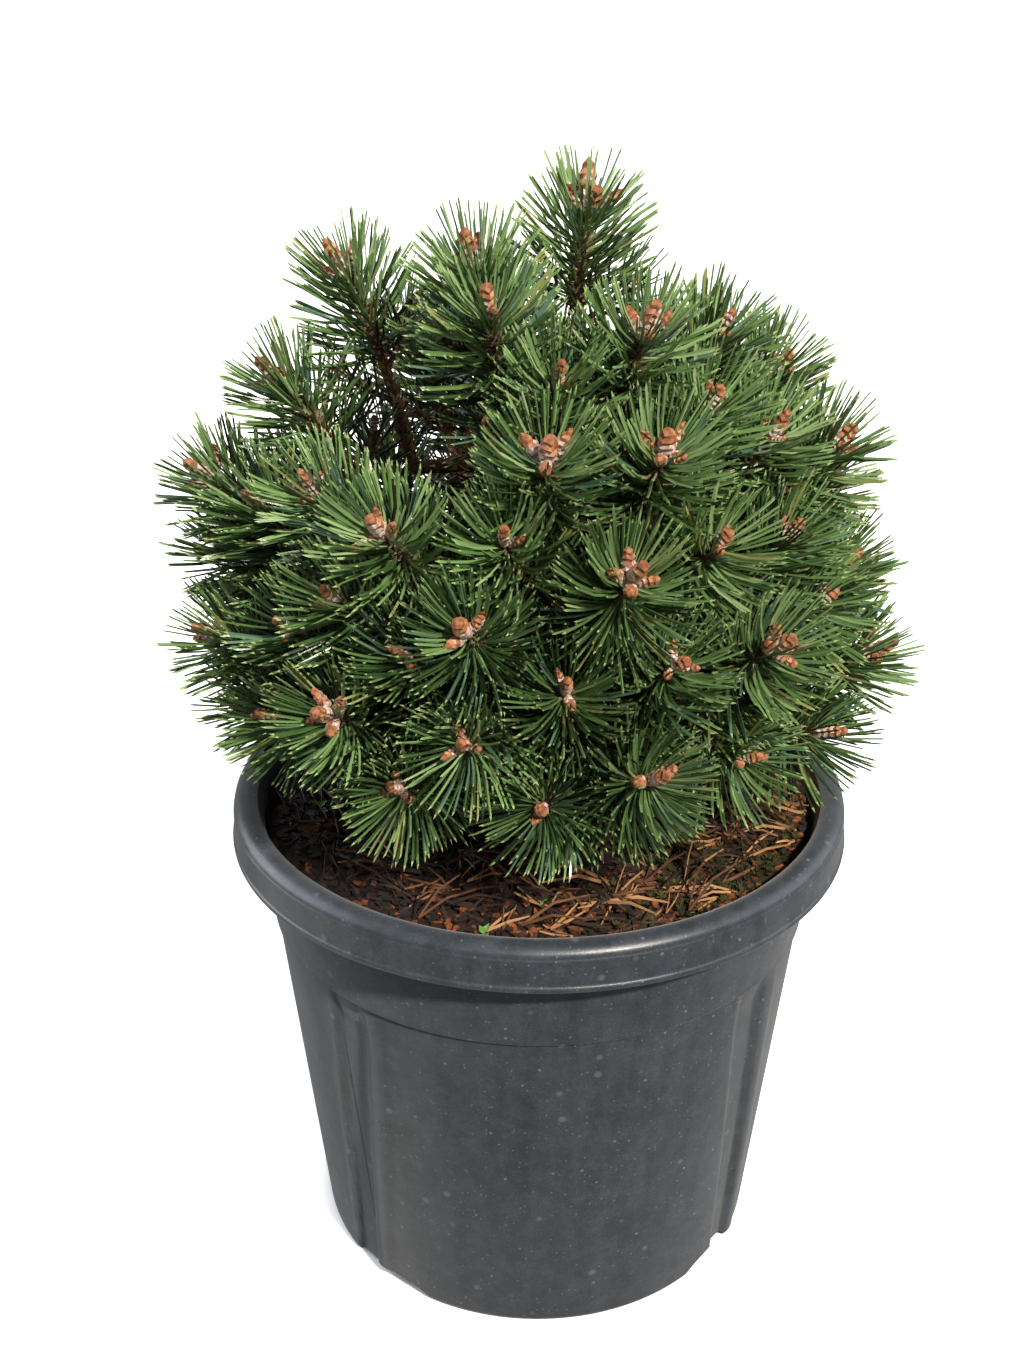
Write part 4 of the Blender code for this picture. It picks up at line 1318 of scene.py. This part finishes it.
def bud_shape(name, length, radius, random, home):
    """A cone of scales: each row flares to its fringed edge, and odd columns stand half a row up."""
    vertices, faces, parts = [], [], []
    rings = 2 * BUD_ROWS
    for ring in range(rings):
        flared = ring % 2
        for k in range(BUD_SIDES):
            up = (ring + (0.5 if k % 2 else 0)) / (rings + 0.6)
            wide = (0.62 + 1.3 * up) * (1 - up) ** 0.55 * (1.10 if flared else 0.86)
            turn = math.tau * (k + 0.3 * random.uniform(-1, 1)) / BUD_SIDES
            vertices.append((radius * wide * math.cos(turn), radius * wide * math.sin(turn), length * up))
    for ring in range(rings - 1):
        faces += band(ring * BUD_SIDES, BUD_SIDES)
        for _ in range(BUD_SIDES):
            resin = random.random() < RESIN_SHARES[ring // 2]
            parts.append(1 if resin else 2 if ring % 2 == 1 and random.random() < FRINGE_SHARE else 0)
    faces += fan((rings - 1) * BUD_SIDES, BUD_SIDES, len(vertices)) + [tuple(range(BUD_SIDES))]
    vertices.append((0, 0, length))
    parts += [0] * BUD_SIDES + [1]
    shape_mesh(name, vertices, faces, parts, home)


def bud_rows(tip, ahead, count, size, random):
    """A cluster of buds on a shoot's tip: one in the middle, the others leaning out round it."""
    across = ahead.cross(Vector((0.3, 0.2, 0.9))).normalized()
    rows = []
    first = random.uniform(0, 360)
    for k in range(count):
        lean = math.radians(random.uniform(4, 10) if k == 0 else random.uniform(34, 52))
        turn = Quaternion(ahead, math.radians(first + 360 * k / max(1, count - 1) + random.uniform(-15, 15)))
        out = turn @ across
        aim = ahead * math.cos(lean) + out * math.sin(lean)
        foot = tip - ahead * 0.0015 + out * (0 if k == 0 else 0.0016)
        share = 1.12 if k == 0 else random.uniform(0.75, 0.95)
        rows.append((foot, aim, out, size * share, random.randrange(BUD_SHAPES), 0))
    return rows


random = Random(BUD_SEED)
bud_home = bpy.data.collections.new("bud_shapes")
for k in range(BUD_SHAPES):
    bud_shape(f"bud_{k}", BUD_LENGTH * (0.9 + 0.07 * k), BUD_RADIUS * (1.1 - 0.05 * k), random, bud_home)
bud_scale = matt("bud_scale", "#693f29", "#a36a45", 420, 0.62)
bud_parts = {1: matt("bud_resin", "#8d6d60", "#c9b6ab", 600, 0.45),
             2: matt("bud_fringe", "#96603c", "#c09069", 500, 0.7)}
rows = []
for i, group in enumerate(groups):
    for k, curve in enumerate(group):
        count = random.choice((3, 4, 5)) if k == 0 else random.choice((2, 2, 3, 4))
        size = TOP_BUD if plan[i][0] == "top" else LEADER_BUD if k == 0 else SIDE_BUD
        rows += bud_rows(curve[-1], (curve[-1] - curve[-2]).normalized(), count, size, random)
    for twig in twigs[i]:
        rows += bud_rows(twig[-1], (twig[-1] - twig[-2]).normalized(), 1, TWIG_BUD, random)
bud_tree = growth_tree("bud_clusters", [bud_scale], bud_parts)
mesh = grown("buds", bud_tree, bud_home, rows, 1, BUD_WOBBLE, BUD_SEED)
show("buds", mesh, "bark", [])


# The papery scales
# Each needle that dropped left its dry scale on the wood, brown to cream, pressed close and pointing up.
# They roughen the bare feet of the shoots and the limbs.

SCALE_LENGTH = 0.0046
SCALE_WIDTH = 0.0022
SCALE_PITCH = 0.00062
SCALE_SEAT = 1.16
SCALE_SHAPES = 2
SCALE_TONE_SHARES = (4, 4, 2)
SCALE_WOBBLE = 0.1
SCALE_SEED = 29


def scale_shape(name, lift, home):
    """A thin pointed scale, one closed wedge."""
    half = SCALE_WIDTH / 2
    vertices = [(0, -half, 0), (0, half, 0), (-0.0004, 0, 0.0004), (lift, 0, SCALE_LENGTH)]
    faces = [(0, 1, 2), (0, 3, 1), (1, 3, 2), (2, 3, 0)]
    shape_mesh(name, vertices, faces, [0] * 4, home)


def scale_rows(curve, radii, from_share, to_share, random):
    """Scales in a spiral along a stretch of a limb or shoot."""
    whole = curve_length(curve)
    count = int(whole * (to_share - from_share) / SCALE_PITCH)
    shares = [from_share + (to_share - from_share) * k / max(1, count) for k in range(count)]
    if not shares:
        return []
    places, aheads, acrosses = frames(curve, shares)
    rows = []
    for k, share in enumerate(shares):
        ahead = Vector(aheads[k])
        turn = math.radians(k * GOLDEN_TURN + random.uniform(-12, 12))
        radial = Quaternion(ahead, turn) @ Vector(acrosses[k])
        radius = radii[0] + (radii[1] - radii[0]) * share
        tone = random.choices((0, 1, 2), SCALE_TONE_SHARES)[0]
        rows.append((Vector(places[k]) + radial * radius, (ahead + radial * 0.35).normalized(), radial,
                     random.uniform(0.7, 1.3), random.randrange(SCALE_SHAPES), tone))
    return rows


random = Random(SCALE_SEED)
scale_home = bpy.data.collections.new("scale_shapes")
for k in range(SCALE_SHAPES):
    scale_shape(f"scale_{k}", 0.0007 + 0.0009 * k, scale_home)
scale_tones = [matt(f"scale_{label}", a, b, 500, 0.85) for label, a, b in (
    ("brown", "#6e452a", "#94633d"), ("tan", "#a07448", "#c2965f"), ("cream", "#c9b290", "#e0d2b8"))]
rows = []
for i, group in enumerate(groups):
    limb, radius = limbs[i]
    seats = (radius * SCALE_SEAT, LIMB_TIP_RADIUS * SCALE_SEAT)
    rows += scale_rows(bend(*limb, LIMB_MARKS), seats, 0.1, 1, random)
    for curve in group:
        bare = max(0.1, 1 - SHOOT_ZONE / curve_length(curve))
        rows += scale_rows(curve, [SHOOT_RADIUS * SCALE_SEAT] * 2, 0, min(1, bare + 0.35), random)
scale_tree = growth_tree("scale_spiral", scale_tones, {})
mesh = grown("papery_scales", scale_tree, scale_home, rows, 1, SCALE_WOBBLE, SCALE_SEED)
show("papery_scales", mesh, "bark", [])


# The studio
# A white floor that glows a little except close to the pot's foot, a distant key light from the front right,
# a weak strip at each side and an even pale surround. The camera stands where the photograph's did.

FLOOR_REACH = 30
FLOOR_GLOW = 0.68
GLOW_NONE = FOOT_RADIUS - 0.004
GLOW_FULL = FOOT_RADIUS + 0.007
SURROUND = 0.32
CAMERA_PLACE = (-0.013, -0.7177, 0.6423)
CAMERA_PITCH = 64.3
CAMERA_LENS = 43.85


def sun_light(name, angle, height, spread, strength, colour):
    """Even light from an angle round from the front and a height, in degrees, softened by its spread."""
    light = bpy.data.lights.new(name, "SUN")
    light.angle = math.radians(spread)
    light.energy = strength
    light.color = linear(colour)[:3]
    lamp = placed(name, light)
    lamp.rotation_euler = (math.radians(90 - height), 0, math.radians(angle))


floor_mesh = bpy.data.meshes.new("floor")
half = FLOOR_REACH / 2
corners = [(-half, -half, 0), (half, -half, 0), (half, half, 0), (-half, half, 0)]
floor_mesh.from_pydata(corners, [], [(0, 1, 2, 3)])
floor = placed("floor", floor_mesh)
backdrop, tree, shader, place = finish_named("studio_floor", 0.9, 1.45)
shader.inputs["Base Color"].default_value = linear("#f4f4f4")
shader.inputs["Emission Color"].default_value = linear("#ffffff")
# The glow is painted light that keeps shadows on the floor faint; fading to nothing by the pot's foot, it
# paints a contact shadow there
away = put(tree, "ShaderNodeVectorMath", {0: place}, operation="LENGTH").outputs["Value"]
glow = stretched(tree, away, GLOW_NONE, GLOW_FULL, 0, FLOOR_GLOW)
tree.links.new(glow, shader.inputs["Emission Strength"])
floor_mesh.materials.append(backdrop)
# The glowing floor stays out of the plant's own light, as on a white ground laid well below it
floor.visible_diffuse = False
floor.visible_glossy = False

sun_light("key", 31, 43, 4, 6.5, "#fff7ee")
sun_light("left_strip", -104, 22, 50, 2.6, "#f2f5ff")
sun_light("right_strip", 104, 22, 50, 1.2, "#f2f5ff")
world = bpy.data.worlds.new("studio")
world.use_nodes = True
world.node_tree.nodes["Background"].inputs["Color"].default_value = linear("#f6f8fb")
world.node_tree.nodes["Background"].inputs["Strength"].default_value = SURROUND
bpy.context.scene.world = world
bpy.context.scene.view_settings.view_transform = "Standard"

camera_data = bpy.data.cameras.new("camera")
camera_data.lens = CAMERA_LENS
camera = placed("camera", camera_data)
camera.location = CAMERA_PLACE
camera.rotation_euler = (math.radians(CAMERA_PITCH), 0, 0)
bpy.context.scene.camera = camera
